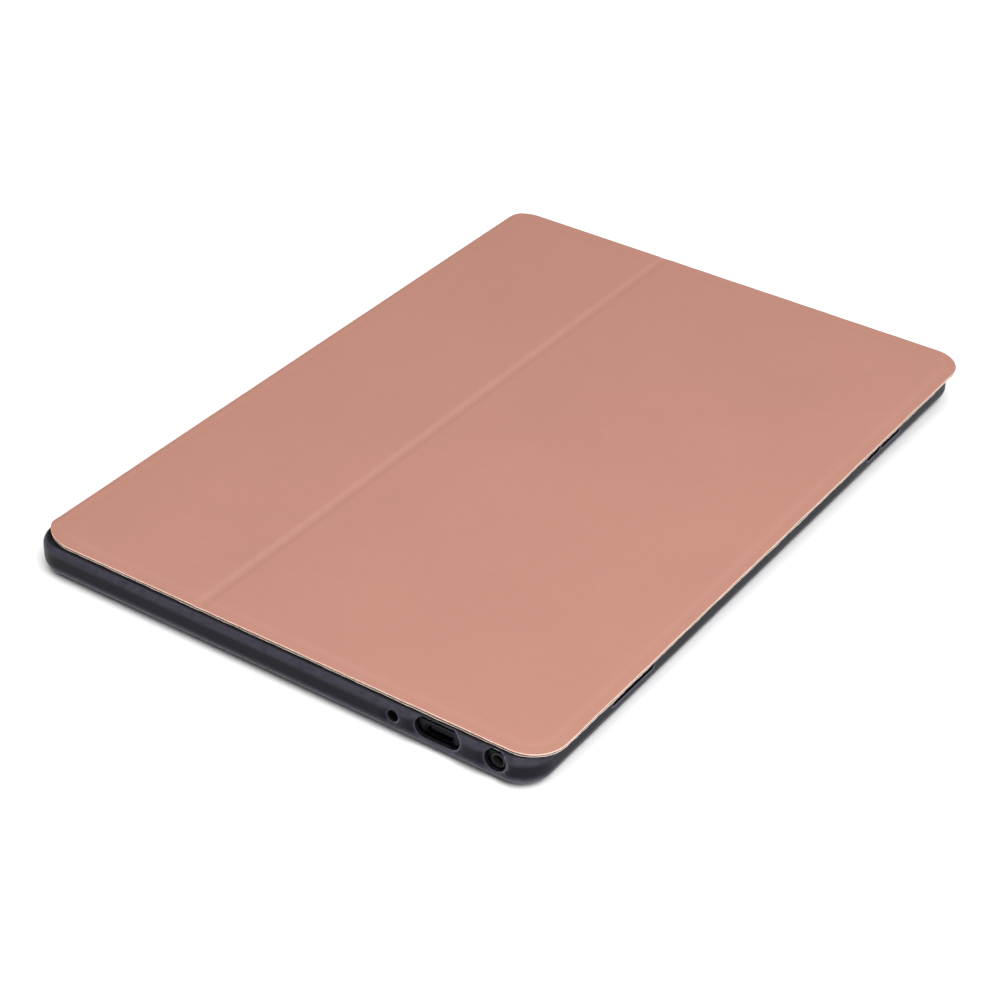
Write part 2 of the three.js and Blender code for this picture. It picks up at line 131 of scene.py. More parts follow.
def stations(low, high, step, *denser):
    """Numbers from low to high about a step apart, with finer runs (start, end, step) added."""
    runs = [np.linspace(low, high, max(2, round((high - low) / step) + 1))]
    for start, end, fine in denser:
        runs = [run[(run <= start) | (run >= end)] for run in runs]
        runs.append(np.linspace(start, end, round((end - start) / fine) + 1))
    every = np.unique(np.round(np.concatenate(runs), 4))
    return every[np.r_[True, np.diff(every) > 0.02]]


def outline(mid, half, radius, xs, ys, arc=8):
    """A rounded rectangle, anticlockwise, as points and outward normals.

    The straight runs pass through xs and ys, which end where the corner arcs begin, and each
    corner is centre + radius * (cos a, sin a) over a quarter turn.
    """
    points, normals = [], []
    around = np.array([(0, -1), (1, 0), (0, 1), (-1, 0)], float)
    for side, along in enumerate((xs, ys, xs[::-1], ys[::-1])):
        facing, following = around[side], around[(side + 1) % 4]
        run = np.tile(mid + half * facing, (len(along), 1))
        run[:, side % 2] = along
        turn = np.radians(90 * (side - 1 + np.arange(1, arc) / arc))
        corner = np.stack([np.cos(turn), np.sin(turn)], 1)
        centre = mid + (half - radius) * (facing + following)
        points += [run, centre + radius * corner]
        normals += [np.tile(facing, (len(along), 1)), corner]
    return np.concatenate(points), np.concatenate(normals)


def ring_faces(rows, columns, close_rows=True, close_columns=True):
    """Quads of a grid of rows by columns, either way closed on itself, as vertex numbers."""
    i = np.arange(rows if close_rows else rows - 1)
    j = np.arange(columns if close_columns else columns - 1)
    i, j = (a.ravel() for a in np.meshgrid(i, j, indexing="ij"))
    up, on = (i + 1) % rows, (j + 1) % columns
    return np.stack([i * columns + j, i * columns + on, up * columns + on, up * columns + j], 1)


def waves(x, y, *terms):
    """Sum of size * sin(x / wavelength_x + y / wavelength_y + phase)."""
    return sum(size * np.sin(x / wx + y / wy + phase) for size, wx, wy, phase in terms)


def beyond(points, mid, half, radius):
    """Distance from each point to a rounded rectangle: below zero inside, above it outside."""
    away = np.abs(points - np.array(mid)) - (np.array(half) - radius)
    outside = np.hypot(np.maximum(away[:, 0], 0), np.maximum(away[:, 1], 0))
    return outside + np.minimum(away.max(1), 0) - radius


# ---------------------------------------------------------------- meshes


def crease_edges(made, sharp):
    """Marks a bmesh's edges over this many degrees as sharp."""
    for edge in made.edges:
        edge.smooth = bool(edge.is_manifold and edge.calc_face_angle(0) < np.radians(sharp))


def smooth_faces(mesh):
    """Shades every face smooth, up to the sharp edges."""
    mesh.polygons.foreach_set("use_smooth", np.ones(len(mesh.polygons), bool))


def new_object(name, made, material, sharp=40.0):
    """Puts a bmesh, in millimetres, into a new object."""
    bmesh.ops.scale(made, vec=(MM, MM, MM), verts=made.verts)
    crease_edges(made, sharp)
    mesh = bpy.data.meshes.new(name)
    made.to_mesh(mesh)
    made.free()
    smooth_faces(mesh)
    mesh.materials.append(material)
    piece = bpy.data.objects.new(name, mesh)
    bpy.context.scene.collection.objects.link(piece)
    return piece


def add_piece(name, made, slot, sharp):
    """A new visible piece in its slot's material, with edges over so many degrees sharp."""
    piece = new_object(name, made, finishes()[slot], sharp)
    return piece


def bmesh_of(points, faces):
    """A bmesh of points and quads."""
    mesh = bpy.data.meshes.new("draft")
    mesh.from_pydata(points.tolist(), [], faces.tolist())
    made = bmesh.new()
    made.from_mesh(mesh)
    bpy.data.meshes.remove(mesh)
    return made


def tidy(made):
    """Merges doubles, drops slivers, closes open loops and turns every face outwards."""
    bmesh.ops.remove_doubles(made, verts=made.verts, dist=0.004)
    bmesh.ops.dissolve_degenerate(made, edges=made.edges, dist=0.002)
    bmesh.ops.holes_fill(made, edges=[e for e in made.edges if e.is_boundary], sides=0)
    bmesh.ops.recalc_face_normals(made, faces=made.faces)
    return made


def points_of(piece):
    """A piece's vertices, in millimetres."""
    flat = np.empty(len(piece.data.vertices) * 3, np.float32)
    piece.data.vertices.foreach_get("co", flat)
    return flat.reshape(-1, 3).astype(float) / MM


def paint(piece, name, values):
    """Stores a mask from 0 to 1, or a place on the flat sheet, at every vertex."""
    kind = "FLOAT" if np.ndim(values) == 1 else "FLOAT_VECTOR"
    layer = piece.data.attributes.new(name, kind, "POINT")
    field = "value" if kind == "FLOAT" else "vector"
    layer.data.foreach_set(field, np.asarray(values, np.float32).ravel())


def carve(piece, *cutters):
    """Cuts solids, given as bmeshes in millimetres, out of a piece, one after another."""
    for number, cutter in enumerate(cutters):
        tool = new_object(f"cutter_{number}", cutter, piece.data.materials[0])
        step = piece.modifiers.new("window", "BOOLEAN")
        step.operation, step.solver, step.object = "DIFFERENCE", "EXACT", tool
        depsgraph = bpy.context.evaluated_depsgraph_get()
        made = bpy.data.meshes.new_from_object(piece.evaluated_get(depsgraph))
        piece.modifiers.clear()
        piece.data, worn = made, piece.data
        bpy.data.meshes.remove(worn)
        bpy.data.objects.remove(tool)
    remade = bmesh.new()
    remade.from_mesh(piece.data)
    bmesh.ops.remove_doubles(remade, verts=remade.verts, dist=1e-6)
    crease_edges(remade, TRAY_SHARP)
    remade.to_mesh(piece.data)
    remade.free()
    smooth_faces(piece.data)


def side_ends(mid, half, radius):
    """Where a rounded rectangle's straight sides end, along X and along Y."""
    return (np.unique([m - h + radius, m + h - radius]) for m, h in zip(mid, half))


def swept_plate(mid, half, radius, ring, xs, ys, arc=8):
    """A plate swept round a rounded rectangle.

    ring is a section as (distance outwards from the outline, height), which starts and ends on
    the flat inside. A point is outline + normal * distance. The two flats are left open.
    """
    path, facing = outline(mid, half, radius, xs, ys, arc)
    ring = np.asarray(ring, float)
    plan = path[:, None, :] + facing[:, None, :] * ring[None, :, :1]
    height = np.broadcast_to(ring[None, :, 1:], (len(path), len(ring), 1))
    points = np.concatenate([plan, height], 2).reshape(-1, 3)
    return bmesh_of(points, ring_faces(len(path), len(ring), True, False))


def flared_cutter(half, radius, place, flare, face, sill=1.0):
    """A window cutter: a rounded rectangle swept straight in, opening out at the face.

    The flare is a quarter circle: offset = flare * (1 - sin a), depth = face + flare * (1 - cos a),
    and sill widens it on the lower side. place turns (across, up, inwards) into millimetres in
    the part.
    """
    turn = np.radians([0, 18, 36, 54, 72, 90])
    offset = np.r_[flare, flare * (1 - np.sin(turn)), 0]
    inwards = np.r_[-3, face + flare * (1 - np.cos(turn)), 2.7]
    core = np.array(half) - radius
    xs, ys = (np.unique(np.round([-c, c], 4)) for c in core)
    path, facing = outline((0, 0), np.array(half), radius, xs, ys, 10)
    grow = np.where(facing[:, 1] < -0.3, sill, 1.0)
    plan = path[:, None, :] + facing[:, None, :] * (offset[None, :, None] * grow[:, None, None])
    across, up = plan[..., 0].ravel(), plan[..., 1].ravel()
    points = place(across, up, np.tile(inwards, len(path)))
    return tidy(bmesh_of(points, ring_faces(len(path), len(inwards), True, False)))


def near_place(x, z):
    """Places a cutter on the near wall."""
    return lambda across, up, inwards: np.stack([x + across, NEAR_WALL + inwards, z + up], 1)


def far_place(x, z):
    """Places a cutter on the far wall."""
    return lambda across, up, inwards: np.stack([x + across, FAR_WALL - inwards, z + up], 1)


def side_place(y, z):
    """Places a cutter on the wall with the keys."""
    return lambda across, up, inwards: np.stack([SIDE_WALL - inwards, y + across, z + up], 1)


def block_cutter(mid, half, radius, low, high, arc=8):
    """An upright cutter with rounded corners between two heights."""
    half = np.array(half, float)
    ring = [(0, low), (0, high)]
    return tidy(swept_plate(mid, half, radius, ring, *side_ends(mid, half, radius), arc))


def camera_cutter(top):
    """A cutter for the rear camera's hole, up to a height."""
    return block_cutter(CAMERA_XY, (CAMERA_HOLE, CAMERA_HOLE), CAMERA_HOLE, -2, top, 16)


def turned(mid, section, steps=48):
    """A section of (radius, height) turned about an upright axis at mid."""
    angle = np.linspace(0, 2 * np.pi, steps, endpoint=False)
    section = np.asarray(section, float)
    x = mid[0] + section[None, :, 0] * np.cos(angle)[:, None]
    y = mid[1] + section[None, :, 0] * np.sin(angle)[:, None]
    z = np.broadcast_to(section[None, :, 1], x.shape)
    points = np.stack([x, y, z], 2).reshape(-1, 3)
    return tidy(bmesh_of(points, ring_faces(steps, len(section), True, False)))


# ---------------------------------------------------------------- shader parts


def feed(tree, target, sockets):
    """Fills a node's named inputs with links or plain values."""
    for name, value in sockets.items():
        if isinstance(value, bpy.types.NodeSocket):
            tree.links.new(value, target.inputs[name])
        else:
            target.inputs[name].default_value = value


def node(tree, kind, inputs, out=0, **settings):
    """Adds a shader node, sets it, fills its inputs and gives back one of its outputs."""
    made = tree.nodes.new(kind)
    for name, value in settings.items():
        setattr(made, name, value)
    feed(tree, made, inputs)
    return made.outputs[out]


def sums(tree, operation, *values):
    """A Math node's result."""
    return node(tree, "ShaderNodeMath", dict(enumerate(values)), operation=operation)


def times(tree, first, second):
    """One value times another."""
    return sums(tree, "MULTIPLY", first, second)


def mixed(tree, how, factor, first, second):
    """A colour mix's result."""
    inputs = {0: factor, 6: first, 7: second}
    return node(tree, "ShaderNodeMix", inputs, 2, data_type="RGBA", blend_type=how)


def scaled_colour(tree, colour, gain):
    """A colour made lighter or darker by a gain."""
    grey = node(tree, "ShaderNodeCombineColor", {0: gain, 1: gain, 2: gain})
    return mixed(tree, "MULTIPLY", 1.0, colour, grey)


def ramp(tree, value, low, high, to_low=0.0, to_high=1.0):
    """A value carried from one range to another, smoothly and clamped."""
    inputs = {0: value, 1: low, 2: high, 3: to_low, 4: to_high}
    return node(tree, "ShaderNodeMapRange", inputs, interpolation_type="SMOOTHSTEP", clamp=True)


def noise(tree, vector, scale, detail, roughness):
    """A noise texture's value."""
    inputs = {"Vector": vector, "Scale": scale, "Detail": detail, "Roughness": roughness}
    return node(tree, "ShaderNodeTexNoise", inputs)


def new_group(name, inputs, outputs):
    """A shader node group with named sockets: (tree, its given inputs, its result node).

    An input's default tells its kind: None is a vector and a tuple is a colour. An output is a
    colour when it is called Color. The rest are numbers.
    """
    tree = bpy.data.node_groups.new(name, "ShaderNodeTree")
    for label, value in inputs.items():
        kind = "Vector" if value is None else "Color" if isinstance(value, tuple) else "Float"
        made = tree.interface.new_socket(
            name=label, in_out="INPUT", socket_type="NodeSocket" + kind)
        if value is not None:
            made.default_value = value
    for label in outputs:
        kind = "Color" if label == "Color" else "Float"
        tree.interface.new_socket(name=label, in_out="OUTPUT", socket_type="NodeSocket" + kind)
    return tree, tree.nodes.new("NodeGroupInput").outputs, tree.nodes.new("NodeGroupOutput")


MID_GREY = (0.5, 0.5, 0.5, 1)


def make_pebble_grain():
    """Leather grain: cells pressed apart by fine creases, with pores between them."""
    tree, given, result = new_group(
        "Pebble Grain", {"Vector": None, "Cells per mm": 1.6}, ("Height", "Hollow"))
    cells = given["Cells per mm"]
    bent = node(tree, "ShaderNodeTexNoise", {"Vector": given["Vector"], "Scale": 0.9}, "Color")
    shifted = node(tree, "ShaderNodeVectorMath",
                   {0: bent, 1: (0.5, 0.5, 0.5), 2: given["Vector"]}, operation="MULTIPLY_ADD")
    cell = node(tree, "ShaderNodeTexVoronoi", {"Vector": shifted, "Scale": cells}, "Distance",
                feature="DISTANCE_TO_EDGE")
    fine = noise(tree, shifted, times(tree, cells, 3.1), 3.0, 0.6)
    height = sums(tree, "MULTIPLY_ADD", fine, 0.45, ramp(tree, cell, 0.0, 0.32))
    hollow = sums(tree, "SUBTRACT", 1.0, ramp(tree, cell, 0.0, 0.12))
    feed(tree, result, {"Height": height, "Hollow": hollow})
    return tree


def make_cloudy_tone():
    """A colour that drifts a little lighter and darker in broad clouds and in small flecks."""
    tree, given, result = new_group(
        "Cloudy Tone",
        {"Vector": None, "Color": MID_GREY, "Cloud per mm": 0.03, "Amount": 0.06},
        ("Color", "Cloud"))
    vector, size = given["Vector"], given["Cloud per mm"]
    broad = noise(tree, vector, size, 3.0, 0.55)
    small = noise(tree, vector, times(tree, size, 14.0), 2.0, 0.5)
    cloud = sums(tree, "ADD", times(tree, broad, 0.7), times(tree, small, 0.3))
    swing = times(tree, sums(tree, "SUBTRACT", cloud, 0.5), 4.0)
    gain = sums(tree, "MULTIPLY_ADD", swing, given["Amount"], 1.0)
    feed(tree, result, {"Color": scaled_colour(tree, given["Color"], gain), "Cloud": cloud})
    return tree


def make_moulded_skin():
    """The fine spark texture of a moulding tool, with faint handling marks in the gloss."""
    tree, given, result = new_group(
        "Moulded Skin", {"Vector": None, "Grain per mm": 6.0, "Gloss": 0.45, "Marks": 0.1},
        ("Height", "Roughness"))
    sparks = noise(tree, given["Vector"], given["Grain per mm"], 2.0, 0.7)
    swing = sums(tree, "SUBTRACT", noise(tree, given["Vector"], 0.07, 4.0, 0.6), 0.5)
    rough = sums(tree, "MULTIPLY_ADD", swing, given["Marks"], given["Gloss"])
    feed(tree, result, {"Height": sparks, "Roughness": rough})
    return tree


def make_tint_edge():
    """Where a mask is high, the colour goes to its tint and the surface to its polish."""
    tree, given, result = new_group(
        "Rubbed Edge",
        {"Vector": None, "Mask": 0.0, "Color": MID_GREY, "Rubbed": (0.7, 0.7, 0.7, 1),
         "Roughness": 0.5, "Polish": 0.35},
        ("Color", "Roughness"))
    # The tint is painted light and shade in some uses, and real wear and pale edges in others.
    patchy = noise(tree, given["Vector"], 0.5, 4.0, 0.6)
    mask = times(tree, given["Mask"], ramp(tree, patchy, 0.25, 0.6, 0.65, 1.0))
    rough = node(tree, "ShaderNodeMix", {0: mask, 2: given["Roughness"], 3: given["Polish"]})
    colour = mixed(tree, "MIX", mask, given["Color"], given["Rubbed"])
    feed(tree, result, {"Color": colour, "Roughness": rough})
    return tree


def make_nap():
    """A short nap: fibres brushed one way, lighter at their tips."""
    tree, given, result = new_group(
        "Brushed Nap", {"Vector": None, "Color": (0.3, 0.3, 0.3, 1)}, ("Height", "Color"))
    stretched = node(tree, "ShaderNodeVectorMath", {0: given["Vector"], 1: (1.0, 0.28, 1.0)},
                     operation="MULTIPLY")
    fibre = noise(tree, stretched, 7.0, 4.0, 0.7)
    tuft = noise(tree, given["Vector"], 0.5, 3.0, 0.6)
    height = sums(tree, "MULTIPLY_ADD", tuft, 0.6, fibre)
    gain = ramp(tree, height, 0.45, 1.15, 0.62, 1.35)
    feed(tree, result, {"Height": height, "Color": scaled_colour(tree, given["Color"], gain)})
    return tree


MAKERS = {
    "grain": make_pebble_grain, "tone": make_cloudy_tone, "skin": make_moulded_skin,
    "edge": make_tint_edge, "nap": make_nap,
}
GROUPS = {}


def group(tree, name, place, **inputs):
    """Places a shared group in a material, making the group the first time."""
    if name not in GROUPS:
        GROUPS[name] = MAKERS[name]()
    made = tree.nodes.new("ShaderNodeGroup")
    made.node_tree = GROUPS[name]
    inputs = {label.replace("_", " "): value for label, value in inputs.items()}
    feed(tree, made, {"Vector": place} | inputs)
    return made.outputs


def tone(tree, place, colour, size, amount):
    """A colour in clouds of this many per millimetre."""
    return group(tree, "tone", place, Color=rgba(colour), Cloud_per_mm=size, Amount=amount)[0]


def skin(tree, place, grain, gloss, marks):
    """A moulded skin's height and roughness."""
    return group(tree, "skin", place, Grain_per_mm=grain, Gloss=gloss, Marks=marks)


def rubbed(tree, place, mask, plain, colour, polish):
    """A plain look carried to another colour and polish where a painted mask is high."""
    return group(tree, "edge", place, Mask=mask_of(tree, mask), Color=plain["Color"],
                 Rubbed=rgba(colour), Roughness=plain["Roughness"], Polish=polish)


def new_material(name, **shader):
    """A material with a Principled shader set from constants: (material, tree, shader node)."""
    material = bpy.data.materials.new(name)
    material.use_nodes = True
    principled = material.node_tree.nodes["Principled BSDF"]
    for label, value in shader.items():
        principled.inputs[label.replace("_", " ")].default_value = value
    return material, material.node_tree, principled


def millimetres(tree, attribute=None):
    """Object coordinates, or a sheet's flat coordinates, in millimetres."""
    if attribute:
        source = node(tree, "ShaderNodeAttribute", {}, "Vector", attribute_name=attribute)
    else:
        source = node(tree, "ShaderNodeTexCoord", {}, "Object")
    return node(tree, "ShaderNodeMapping", {"Vector": source, "Scale": (1000, 1000, 1000)})


def mask_of(tree, name):
    """A painted mask's value."""
    return node(tree, "ShaderNodeAttribute", {}, "Fac", attribute_name=name)


def surface(tree, shader, colour, roughness, height, strength, depth):
    """Feeds a material's colour, roughness and a relief this many millimetres deep."""
    relief = {"Height": height, "Strength": strength, "Distance": depth * MM}
    feed(tree, shader, {"Base Color": colour, "Roughness": roughness,
                        "Normal": node(tree, "ShaderNodeBump", relief)})


def rgba(colour):
    """A colour with its fourth number, the opacity, set to 1."""
    return (*colour[:3], 1.0)


# ---------------------------------------------------------------- the finishes


def leather_finish(settings):
    """Matte coated leather: pebble grain, clouds, paler stretched folds, painted highlights beside
    the crease and along the boards' step, and a pale cut edge with a painted highlight.
    """
    material, tree, shader = new_material("rose_leather", Specular_IOR_Level=0.42, Sheen_Weight=0.0)
    place = millimetres(tree, "laid_flat")
    leather = settings.leather_colour
    grain = group(tree, "grain", place, Cells_per_mm=1 / settings.grain_size)
    shaded = mixed(tree, "MULTIPLY", times(tree, grain["Hollow"], 0.10),
                   tone(tree, place, leather, 0.022, 0.035), (0.62, 0.50, 0.46, 1))
    # Paler where stretched round the fold and over the boards' step, and worn at the rim; the bands
    # beside the crease and along the step are painted highlights.
    stretched = rubbed(tree, place, "stretched", {"Color": shaded, "Roughness": 0.60},
                       [min(1, 0.07 + 1.07 * c) for c in leather], 0.50)
    # A pale cut edge, brightened with a painted highlight on its rounding.
    cut = rubbed(tree, place, "pale_edge_and_painted_light", stretched, settings.pale_edge_and_light_colour, 0.75)
    flesh = group(tree, "nap", place, Color=(0.07, 0.05, 0.045, 1))
    colour = mixed(tree, "MIX", mask_of(tree, "flesh_side"), cut["Color"], flesh["Color"])
    surface(tree, shader, colour, cut["Roughness"], grain["Height"], 0.22, 0.05)
    return material


def tray_finish(settings):
    """Satin moulded polymer, a little blue, with painted highlights, paler and smoother, on its
    windows' lips, its foot and its shoulder, and painted shade, near black and matt, inside its
    windows and on its rim.
    """
    material, tree, shader = new_material("soft_black", Specular_IOR_Level=0.07)
    place = millimetres(tree)
    grain = skin(tree, place, 4.0, settings.tray_roughness, 0.16)
    plain = {"Color": tone(tree, place, settings.tray_colour, 0.05, 0.10),
             "Roughness": grain["Roughness"]}
    # Painted highlights and reflections: a paler tint on the windows' lips, the foot and the
    # shoulder.
    lips = rubbed(tree, place, "rubbed", plain, (0.13, 0.12, 0.16), 0.32)
    # Painted shade: near black and matt inside the windows and on the rim under the cover.
    cut = rubbed(tree, place, "painted_shade_mask", lips, (0.004, 0.004, 0.006), 0.9)
    surface(tree, shader, cut["Color"], cut["Roughness"], grain["Height"], 0.25, 0.03)
    return material


def lining_finish(settings):
    """Brushed microfibre, paler where its cut edge shows, partly the raw edge's own colour and
    partly painted light against the shade under the leather.
    """
    material, tree, shader = new_material(
        "lining_cloth", Specular_IOR_Level=0.25, Sheen_Weight=0.35, Sheen_Roughness=0.4)
    place = millimetres(tree, "laid_flat")
    nap = group(tree, "nap", place, Color=rgba(settings.lining_colour))
    # Paler raw edge, lightened further as painted light so it shows in the leather's shade.
    edge = rubbed(tree, place, "pale_edge_and_painted_light", {"Color": nap["Color"], "Roughness": 0.95},
                  (0.72, 0.60, 0.50), 0.85)
    surface(tree, shader, edge["Color"], edge["Roughness"], nap["Height"], 0.5, 0.08)
    return material


def moulded_finish(name, colour, gloss, metallic, grain, depth, marks):
    """A plastic or metal with a fine skin: its tone drifts, and its gloss has faint marks."""
    material, tree, shader = new_material(name, Metallic=metallic)
    place = millimetres(tree)
    grained = skin(tree, place, grain, gloss, marks)
    surface(tree, shader, tone(tree, place, colour, 0.06, 0.08), grained["Roughness"],
            grained["Height"], 0.3, depth)
    return material


def glass_finish(settings):
    """Polished cover glass: a black border round a display that is off, and faint smears."""
    material, tree, shader = new_material(
        "black_glass", Specular_IOR_Level=0.5, IOR=1.5, Coat_Weight=1.0, Coat_Roughness=0.02)
    place = millimetres(tree)
    low, high = span("display_panel")
    split = tree.nodes.new("ShaderNodeSeparateXYZ")
    feed(tree, split, {0: place})
    x, y, _ = split.outputs
    inside = 1.0
    for axis, along in enumerate((x, y)):
        past = sums(tree, "ABSOLUTE", sums(tree, "SUBTRACT", along, (low + high)[axis] / 2))
        edge = (high - low)[axis] / 2 - settings.glass_border
        inside = times(tree, ramp(tree, past, edge - 0.04, edge + 0.04, 1.0, 0.0), inside)
    colour = mixed(tree, "MIX", inside, (0.004, 0.004, 0.005, 1), (0.016, 0.017, 0.021, 1))
    flat = node(tree, "ShaderNodeCombineXYZ", {0: x, 1: y})
    for name, size, shade in (
        ("front_camera", 1.7, (0.02, 0.03, 0.06, 1)), ("light_sensor", 1.0, (0.03, 0.01, 0.02, 1))
    ):
        away = node(tree, "ShaderNodeVectorMath", {0: flat, 1: (*middle(name)[:2], 0)}, "Value",
                    operation="DISTANCE")
        lens = ramp(tree, away, size - 0.1, size + 0.1, 1.0, 0.0)
        rim = times(tree, ramp(tree, away, size, size + 0.15),
                    ramp(tree, away, size + 0.5, size + 0.7, 1.0, 0.0))
        colour = mixed(tree, "MIX", lens, colour, shade)
        colour = mixed(tree, "MIX", times(tree, rim, 0.5), colour, (0.05, 0.05, 0.055, 1))
    smears = skin(tree, place, 0.2, 0.07, 0.06)["Roughness"]
    feed(tree, shader, {"Base Color": colour, "Roughness": smears})
    return material


def board_finish():
    """Solder mask over woven board, with tracks that run square and pads that catch the light."""
    material, tree, shader = new_material("circuit_green", Specular_IOR_Level=0.5)
    place = millimetres(tree)
    tracks = node(
        tree, "ShaderNodeTexVoronoi", {"Vector": place, "Scale": 0.45, "Randomness": 0.75},
        "Distance", distance="CHEBYCHEV", feature="F1")
    line = times(tree, ramp(tree, tracks, 0.30, 0.33), ramp(tree, tracks, 0.37, 0.40, 1, 0))
    pads = ramp(tree, tracks, 0.05, 0.07, 1, 0)
    green = tone(tree, place, (0.012, 0.085, 0.045), 0.1, 0.08)
    laid = mixed(tree, "MIX", times(tree, line, 0.8), green, (0.03, 0.20, 0.10, 1))
    feed(tree, shader, {"Metallic": pads})
    surface(tree, shader, mixed(tree, "MIX", pads, laid, (0.62, 0.46, 0.2, 1)),
            skin(tree, place, 3.0, 0.35, 0.1)["Roughness"], line, 0.4, 0.03)
    return material


def ribbon_finish():
    """Amber film over fine copper tracks."""
    material, tree, shader = new_material("ribbon_amber", Coat_Weight=0.5, Coat_Roughness=0.15)
    place = millimetres(tree)
    wave = node(tree, "ShaderNodeTexWave", {"Vector": place, "Scale": 0.55, "Distortion": 0.0},
                "Fac", bands_direction="X")
    copper = ramp(tree, wave, 0.55, 0.7)
    amber = tone(tree, place, (0.30, 0.12, 0.025), 0.2, 0.08)
    laid = mixed(tree, "MIX", times(tree, copper, 0.75), amber, (0.62, 0.27, 0.08, 1))
    feed(tree, shader, {"Metallic": times(tree, copper, 0.6)})
    surface(tree, shader, laid, skin(tree, place, 2.0, 0.32, 0.1)["Roughness"], copper, 0.4, 0.02)
    return material


MOULDED = (  # name, colour, gloss, metallic, grain per mm, depth of the skin in mm, marks
    ("greyboard", (0.33, 0.31, 0.27), 0.92, 0.0, 1.5, 0.08, 0.1),
    ("panel_black", (0.015, 0.015, 0.018), 0.18, 0.0, 1.0, 0.004, 0.1),
    ("black_plastic", (0.02, 0.02, 0.022), 0.55, 0.0, 4.0, 0.02, 0.1),
    ("bright_steel", (0.50, 0.50, 0.51), 0.30, 1.0, 3.0, 0.01, 0.2),
    ("cell_wrap", (0.03, 0.03, 0.035), 0.36, 0.0, 0.35, 0.15, 0.2),
    ("gilt_brass", (0.62, 0.42, 0.16), 0.28, 1.0, 4.0, 0.01, 0.15),
    # Near-black metal for the USB connector: it paints the shade inside its port window.
    ("shade_dark_nickel", (0.016, 0.016, 0.019), 0.42, 1.0, 3.0, 0.01, 0.2),
)
FINISHES = {}


def finishes():
    """Every material by slot, made the first time."""
    if not FINISHES:
        folio, tablet = bpy.context.scene.folio_case, bpy.context.scene.folio_tablet
        # The shell's near-black colour paints the shade seen through the tray's windows.
        shell = ("anodised_shell", tablet.shell_and_shade_colour, 0.40, 1.0, 9.0, 0.012, 0.1)
        made = [leather_finish(folio), tray_finish(folio), lining_finish(folio),
                glass_finish(tablet), board_finish(), ribbon_finish()]
        made += [moulded_finish(*look) for look in (*MOULDED, shell)]
        FINISHES.update((material.name.split(".")[0], material) for material in made)
    return FINISHES


# ---------------------------------------------------------------- leather


# The leather's section at its cut edge: runs of distance in from the outline, and of depth.
SHEET = 0.42  # thickness of the leather
TOP, EDGE, UNDER = 0, 1, 2  # the section's parts
TOP_RUN = np.array([10.5, 8.0, 6.2, 5.4, 5.0, 4.6, 4.2, 3.8, 3.4, 2.9, 1.7, 0.8])
EDGE_IN = np.array([0.26, 0.13, 0.05, 0.01, 0.0, 0.02, 0.08, 0.16])
EDGE_DOWN = np.array([0.0, 0.02, 0.07, 0.13, 0.24, 0.34, 0.40, SHEET])
UNDER_RUN = np.array([1.7, 3.4, 3.8, 4.2, 6.2, 10.5])
SECTION_IN = np.concatenate([TOP_RUN, EDGE_IN, UNDER_RUN])
SECTION_PART = np.repeat([TOP, EDGE, UNDER], [len(TOP_RUN), len(EDGE_IN), len(UNDER_RUN)])
SECTION_DOWN = np.concatenate([0 * TOP_RUN, EDGE_DOWN, np.full(len(UNDER_RUN), SHEET)])
FAR_IN = 99.0  # stands for the distance in from the edge, well inside the sheet


def crease_dip(x, y, depth):
    """Depth of the fold line: a broad slope on the spine side and a short one on the free side.

    depth * ease((x - crease + wide) / (wide - 0.5)) * (1 - ease((x - crease - 0.15) / 1.7)), and
    the broad side widens towards both ends of the line.
    """
    wide = 3.0 + 1.4 * ease((np.abs(y - COVER_MID[1]) - 95) / 28)
    here = x - CREASE_X
    return depth * ease((here + wide) / (wide - 0.5)) * (1 - ease((here - 0.15) / 1.7))


def skin_height(x, y, inward, part, down, border, settings):
    """Height of the cover's leather over its nominal skin.

    Top: the border lies a step below the boards, eased over 3.4 mm, less the crease and one dent,
    plus a slow ripple. Edge: the border's height less the edge section. Under: a sheet's thickness
    below, raised over the boards' pockets.
    """
    step = settings.board_step
    lowered = step * border * (1 - ease((inward - 2.6) / 3.4))
    dip = crease_dip(x, y, settings.crease_depth)
    ripple = waves(x, y, (0.030, 19, 31, 0.7), (0.022, -33, 17, 2.1), (0.010, 8, -11, 0.4),
                   (0.006, 3.7, 5.3, 1.9))
    dent = 0.16 * np.exp(-(((x - DENT_XY[0]) / 1.6) ** 2 + ((y - DENT_XY[1]) / 3.0) ** 2))
    top = -lowered - dip * (1 - 0.35 * (inward < 3)) + ripple * ease(inward / 3) - dent
    edge = -step * border - dip * 0.65 - down
    pocket = ease((inward - 3.4) / 0.9) * ease((np.abs(x - CREASE_X) - 1.4) / 0.8)
    sheet = step * border + SHEET + 0.38 * (1 - border)
    under = -sheet + (sheet - 0.38) * pocket * border - dip * 0.4
    return np.select([part == TOP, part == EDGE], [top, edge], under)


def leather_masks(piece, flat, inward, part, down, fold):
    """Paints where the leather is stretched over a fold, with painted highlights beside the crease
    and along the boards' step, where its pale cut edge shows with a painted highlight, and inside.
    """
    board = np.exp(-(((inward - 3.7) / 0.7) ** 2))
    crease = np.exp(-(((flat[:, 0] - CREASE_X + 1.7) / 1.0) ** 2))
    lip = np.exp(-((inward / 0.5) ** 2))
    # Paler where stretched over the boards' step and the crease, and worn at the rim; the bands by
    # the step and on the crease's broad side are painted highlights where they face the light.
    stretch_and_highlight = np.maximum.reduce([0.10 * board, 0.22 * crease, 0.35 * lip]) * (part == TOP)
    paint(piece, "laid_flat", flat * MM)
    paint(piece, "stretched", np.clip(np.maximum(stretch_and_highlight, fold), 0, 1))
    # The pale cut edge, with a painted highlight on its upper rounding.
    paint(piece, "pale_edge_and_painted_light", (part == EDGE) * ease((down - 0.01) / 0.06))
    paint(piece, "flesh_side", (part == UNDER).astype(float))


